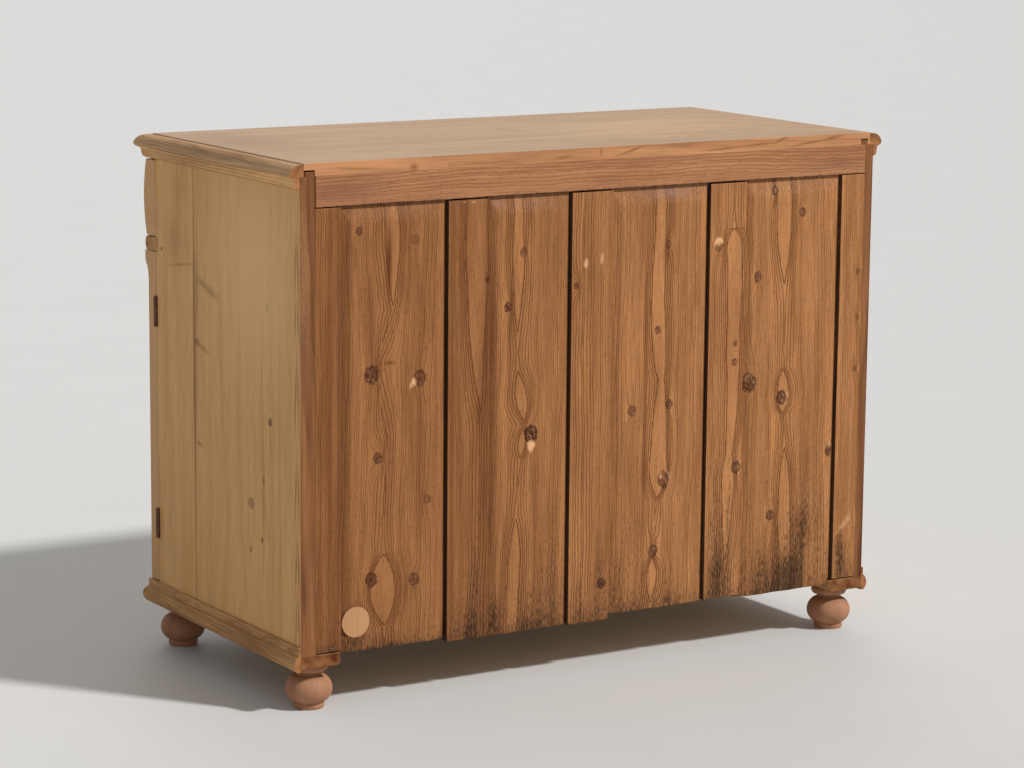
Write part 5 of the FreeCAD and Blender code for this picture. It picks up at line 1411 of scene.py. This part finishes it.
def fixing_tree():
    """A geometry node tree that sets one nail or screw on every point, its head at the point."""
    if "Fixings" in bpy.data.node_groups:
        return bpy.data.node_groups["Fixings"]
    tree = bpy.data.node_groups.new("Fixings", "GeometryNodeTree")
    face = tree.interface
    face.new_socket("Points", in_out="INPUT", socket_type="NodeSocketGeometry")
    for name in ("Head Radius", "Under Radius", "Shank Radius", "Head Depth", "Length", "Slot Width"):
        face.new_socket(name, in_out="INPUT", socket_type="NodeSocketFloat")
    face.new_socket("Direction", in_out="INPUT", socket_type="NodeSocketVector")
    face.new_socket("Seed", in_out="INPUT", socket_type="NodeSocketInt")
    face.new_socket("Material", in_out="INPUT", socket_type="NodeSocketMaterial")
    face.new_socket("Geometry", in_out="OUTPUT", socket_type="NodeSocketGeometry")
    given = tree.nodes.new("NodeGroupInput").outputs

    # A round bar of four rings takes the outline of the head and the shank.
    bar = put(tree, "GeometryNodeMeshCylinder", {
        "Vertices": SIDES_ROUND, "Side Segments": RINGS - 1, "Radius": given["Head Radius"], "Depth": 1.0})
    place = put(tree, "GeometryNodeInputPosition", {})
    up = put(tree, "ShaderNodeSeparateXYZ", {0: place}, out=2)
    ring = put(tree, MATH, {0: up, 1: RINGS - 1.0, 2: (RINGS - 1) / 2}, operation="MULTIPLY_ADD")
    ring = put(tree, "FunctionNodeFloatToInt", {0: ring}, rounding_mode="ROUND")
    neck = put(tree, MATH, {0: given["Head Depth"], 1: NECK}, operation="MULTIPLY")
    tip = put(tree, MATH, {0: given["Shank Radius"], 1: TIP}, operation="MULTIPLY")
    outline = []
    for values in ((0.0, given["Head Depth"], neck, given["Length"]),
                   (given["Head Radius"], given["Under Radius"], given["Shank Radius"], tip)):
        node = tree.nodes.new("GeometryNodeIndexSwitch")
        node.data_type = "FLOAT"
        while len(node.index_switch_items) < RINGS:
            node.index_switch_items.new()
        tree.links.new(ring, node.inputs["Index"])
        for index, value in enumerate(values):
            if isinstance(value, bpy.types.NodeSocket):
                tree.links.new(value, node.inputs[index + 1])
            else:
                node.inputs[index + 1].default_value = value
        outline.append(node.outputs[0])
    wide = put(tree, MATH, {0: outline[1], 1: given["Head Radius"]}, operation="DIVIDE")
    flat = put(tree, VECTOR, {0: place, 1: (1.0, 1.0, 0.0)}, operation="MULTIPLY")
    flat = put(tree, VECTOR, {0: flat, "Scale": wide}, operation="SCALE")
    lift = put(tree, "ShaderNodeCombineXYZ", {2: outline[0]})
    moved = put(tree, VECTOR, {0: flat, 1: lift}, operation="ADD")
    bar = put(tree, "GeometryNodeSetPosition", {"Geometry": bar, "Position": moved})

    # A screw's head has a slot for the driver.
    across = put(tree, MATH, {0: given["Head Radius"], 1: SLOT_LONG}, operation="MULTIPLY")
    block = put(tree, "ShaderNodeCombineXYZ", {0: across, 1: given["Slot Width"], 2: given["Head Depth"]})
    block = put(tree, "GeometryNodeMeshCube", {"Size": block})
    cut = put(tree, "GeometryNodeMeshBoolean", {"Mesh 1": bar, "Mesh 2": block},
              operation="DIFFERENCE", solver="EXACT")
    slotted = put(tree, "FunctionNodeCompare", {0: given["Slot Width"], 1: 0.0},
                  data_type="FLOAT", operation="GREATER_THAN")
    shape = put(tree, "GeometryNodeSwitch", {"Switch": slotted, "False": bar, "True": cut},
                input_type="GEOMETRY")

    # Each one is turned by chance about its own length.
    chance = put(tree, "FunctionNodeRandomValue", {"Seed": given["Seed"], 3: math.pi},
                 out=1, data_type="FLOAT")
    turn = put(tree, "ShaderNodeCombineXYZ", {2: chance})
    spread = put(tree, "GeometryNodeInstanceOnPoints", {
        "Points": given["Points"], "Instance": shape, "Rotation": given["Direction"]})
    spread = put(tree, "GeometryNodeRotateInstances", {
        "Instances": spread, "Rotation": turn, "Local Space": True})
    solid = put(tree, "GeometryNodeRealizeInstances", {"Geometry": spread})
    solid = put(tree, "GeometryNodeSetMaterial", {"Geometry": solid, "Material": given["Material"]})
    put(tree, "NodeGroupOutput", {0: solid})
    return tree


def set_fixings(node, side, material, **values):
    """Nails or screws with their heads where the CAD node has them, as one mesh."""
    heads = []
    for points, _ in shells(node):
        middle = (points.min(0) + points.max(0)) / 2
        heads.append((middle[0], points[:, 1].min() if side == "front" else points[:, 1].max(), middle[2]))
    mesh = bpy.data.meshes.new(node + "_heads")
    mesh.from_pydata(heads, [], [])
    holder = bpy.data.objects.new(node + "_heads", mesh)
    bpy.context.scene.collection.objects.link(holder)
    tree = fixing_tree()
    modifier = holder.modifiers.new("fixings", "NODES")
    modifier.node_group = tree
    values.update({"Direction": TURN_IN[side], "Seed": len(heads), "Material": material})
    for item in tree.interface.items_tree:
        if item.in_out == "INPUT" and item.name in values:
            modifier[item.identifier] = values[item.name]
    done = bpy.data.meshes.new_from_object(holder.evaluated_get(bpy.context.evaluated_depsgraph_get()))
    holder.modifiers.remove(modifier)
    bpy.data.objects.remove(holder)
    done.shade_flat()
    return show(node + "_set", done, material, "iron", node)


class CUPBOARD_OT_fixings(bpy.types.Operator):
    """Sets the nails of the back and the screws of the hinges"""

    bl_idname = "cupboard.fixings"
    bl_label = "Nails and screws"

    def execute(self, context):
        s = sizes()
        low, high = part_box("back_nails")
        set_fixings("back_nails", "back", old_iron(), **{
            "Head Radius": s.nail, "Under Radius": NAIL_UNDER * s.nail, "Shank Radius": s.nail / 2,
            "Head Depth": NAIL_HEAD_DEPTH, "Length": high.y - low.y, "Slot Width": 0.0})
        for node, side in (("carcass_hinge_screws", "front"), ("left_door_hinge_screws", "back"),
                           ("right_door_hinge_screws", "back")):
            low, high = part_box(node)
            set_fixings(node, side, old_iron(), **{
                "Head Radius": s.screw, "Under Radius": s.screw / 2, "Shank Radius": s.screw / 2,
                "Head Depth": SCREW_HEAD_DEPTH, "Length": high.y - low.y, "Slot Width": s.slot})
        return {"FINISHED"}


class CUPBOARD_OT_metalwork(bpy.types.Operator):
    """Finishes the hinges, locks, keys and escutcheons"""

    bl_idname = "cupboard.metalwork"
    bl_label = "Hinges and locks"

    def execute(self, context):
        for node in ("carcass_hinge_leaves", "hinge_pins"):
            dress(node, old_iron())
        for side in ("left", "right"):
            for part in ("door_hinge_leaves", "key"):
                dress(f"{side}_{part}", old_iron())
            for part in ("lock_case", "lock_bolt"):
                dress(f"{side}_{part}", lock_steel())
            dress(f"{side}_escutcheon", old_brass())
        return {"FINISHED"}


# Where the photograph was taken from, in metres and radians.
CAMERA_PLACE = (2.8694, 4.64575, 1.4135)
CAMERA_YAW, CAMERA_PITCH, CAMERA_ROLL = -2.1261, -0.1761, 0.0088
SENSOR = 36.0
CLIP_END = 300.0
FLOOR_REACH = 60.0
CLOUD_SIZE = 250 * MM
# The lights: the way that each shines, and how many degrees wide it is.
KEY_WAY, KEY_WIDE = (0.45, -0.59, -0.67), 5
FRONT_WAY, FRONT_WIDE = (0.3, 0.8, -0.5), 40


# Pale trowelled screed: nearly even, with soft clouds a hand or two wide.
def pale_screed():
    name = "Screed floor, pale"
    material = new_material(name)
    if material is None:
        return bpy.data.materials[name]
    tree = material.node_tree
    place = put(tree, "ShaderNodeTexCoord", {}, out="Object")
    cloud = put(tree, NOISE, {"Vector": place, "Scale": 1 / CLOUD_SIZE, "Detail": 4.0})
    level = put(tree, RANGE, {0: cloud, 1: 0.3, 2: 0.7, 3: 0.985, 4: 1.01})
    colour = put(tree, VECTOR, {0: tuple(colours().floor)[:3], "Scale": level}, operation="SCALE")
    shader = put(tree, "ShaderNodeBsdfPrincipled", {"Base Color": colour, "Roughness": 0.65})
    put(tree, "ShaderNodeOutputMaterial", {"Surface": shader})
    return material


def add_lights(scene, settings):
    """An even white room, a sun from the photograph's right and a weak one on the front."""
    world = bpy.data.worlds.new("room")
    scene.world = world
    world.use_nodes = True
    tree = world.node_tree
    tree.nodes.clear()
    sky = put(tree, "ShaderNodeBackground", {"Color": (1.0, 1.0, 1.0, 1.0), "Strength": settings.sky})
    put(tree, "ShaderNodeOutputWorld", {"Surface": sky})
    for name, strength, wide, way in (("key", settings.key, KEY_WIDE, KEY_WAY),
                                      ("front", settings.fill, FRONT_WIDE, FRONT_WAY)):
        lamp = bpy.data.lights.new(name, "SUN")
        lamp.energy, lamp.angle = strength, math.radians(wide)
        light = bpy.data.objects.new(name, lamp)
        light.rotation_euler = Vector(way).to_track_quat("-Z", "Y").to_euler()
        scene.collection.objects.link(light)


def add_camera(scene, lens):
    """A camera where the photograph was taken from."""
    level = math.cos(CAMERA_PITCH)
    forward = Vector((level * math.cos(CAMERA_YAW), level * math.sin(CAMERA_YAW), math.sin(CAMERA_PITCH)))
    right = forward.cross(Vector((0, 0, 1))).normalized()
    up = right.cross(forward)
    cos, sin = math.cos(CAMERA_ROLL), math.sin(CAMERA_ROLL)
    right, up = cos * right + sin * up, cos * up - sin * right
    turn = Matrix((right, up, -forward)).transposed().to_4x4()
    camera = bpy.data.cameras.new("camera")
    camera.lens, camera.sensor_width, camera.clip_end = lens, SENSOR, CLIP_END
    view = bpy.data.objects.new("camera", camera)
    view.matrix_world = Matrix.Translation(CAMERA_PLACE) @ turn
    scene.collection.objects.link(view)
    scene.camera = view


class CUPBOARD_OT_stage(bpy.types.Operator):
    """Makes the floor, the lights and the camera"""

    bl_idname = "cupboard.stage"
    bl_label = "Stage"

    def execute(self, context):
        scene, settings = context.scene, context.scene.cupboard_stage
        mesh = bpy.data.meshes.new("floor")
        r = FLOOR_REACH
        mesh.from_pydata([(-r, -r, 0), (r, -r, 0), (r, r, 0), (-r, r, 0)], [], [(0, 1, 2, 3)])
        mesh.materials.append(pale_screed())
        floor = bpy.data.objects.new("floor", mesh)
        scene.collection.objects.link(floor)
        add_lights(scene, settings)
        add_camera(scene, settings.lens)
        scene.view_settings.view_transform = "Standard"
        return {"FINISHED"}


OPERATORS = (
    CUPBOARD_OT_back_frame, CUPBOARD_OT_back_panels, CUPBOARD_OT_sides, CUPBOARD_OT_top,
    CUPBOARD_OT_mouldings, CUPBOARD_OT_feet, CUPBOARD_OT_inside, CUPBOARD_OT_doors,
    CUPBOARD_OT_drawers, CUPBOARD_OT_fixings, CUPBOARD_OT_metalwork, CUPBOARD_OT_stage)


class CUPBOARD_PT_sidebar(bpy.types.Panel):
    """Lists the cupboard's pieces"""

    bl_idname = "CUPBOARD_PT_sidebar"
    bl_label = "Low Pine Cupboard"
    bl_space_type = "VIEW_3D"
    bl_region_type = "UI"
    bl_category = "Cupboard"

    def draw(self, context):
        for operator in OPERATORS:
            self.layout.operator(operator.bl_idname)
        scene = context.scene
        for group in (scene.cupboard_colours, scene.cupboard_sizes, scene.cupboard_stage):
            for name in group.bl_rna.properties.keys():
                if name not in ("rna_type", "name"):
                    self.layout.prop(group, name)


CLASSES = (CupboardColours, CupboardSizes, CupboardStage) + OPERATORS + (CUPBOARD_PT_sidebar,)


def register():
    for item in CLASSES:
        bpy.utils.register_class(item)
    bpy.types.Scene.cupboard_colours = bpy.props.PointerProperty(type=CupboardColours)
    bpy.types.Scene.cupboard_sizes = bpy.props.PointerProperty(type=CupboardSizes)
    bpy.types.Scene.cupboard_stage = bpy.props.PointerProperty(type=CupboardStage)


def unregister():
    del bpy.types.Scene.cupboard_stage
    del bpy.types.Scene.cupboard_sizes
    del bpy.types.Scene.cupboard_colours
    for item in reversed(CLASSES):
        bpy.utils.unregister_class(item)


def main():
    register()
    for operator in OPERATORS:
        group, name = operator.bl_idname.split(".")
        getattr(getattr(bpy.ops, group), name)()


if __name__ == "__main__":
    main()
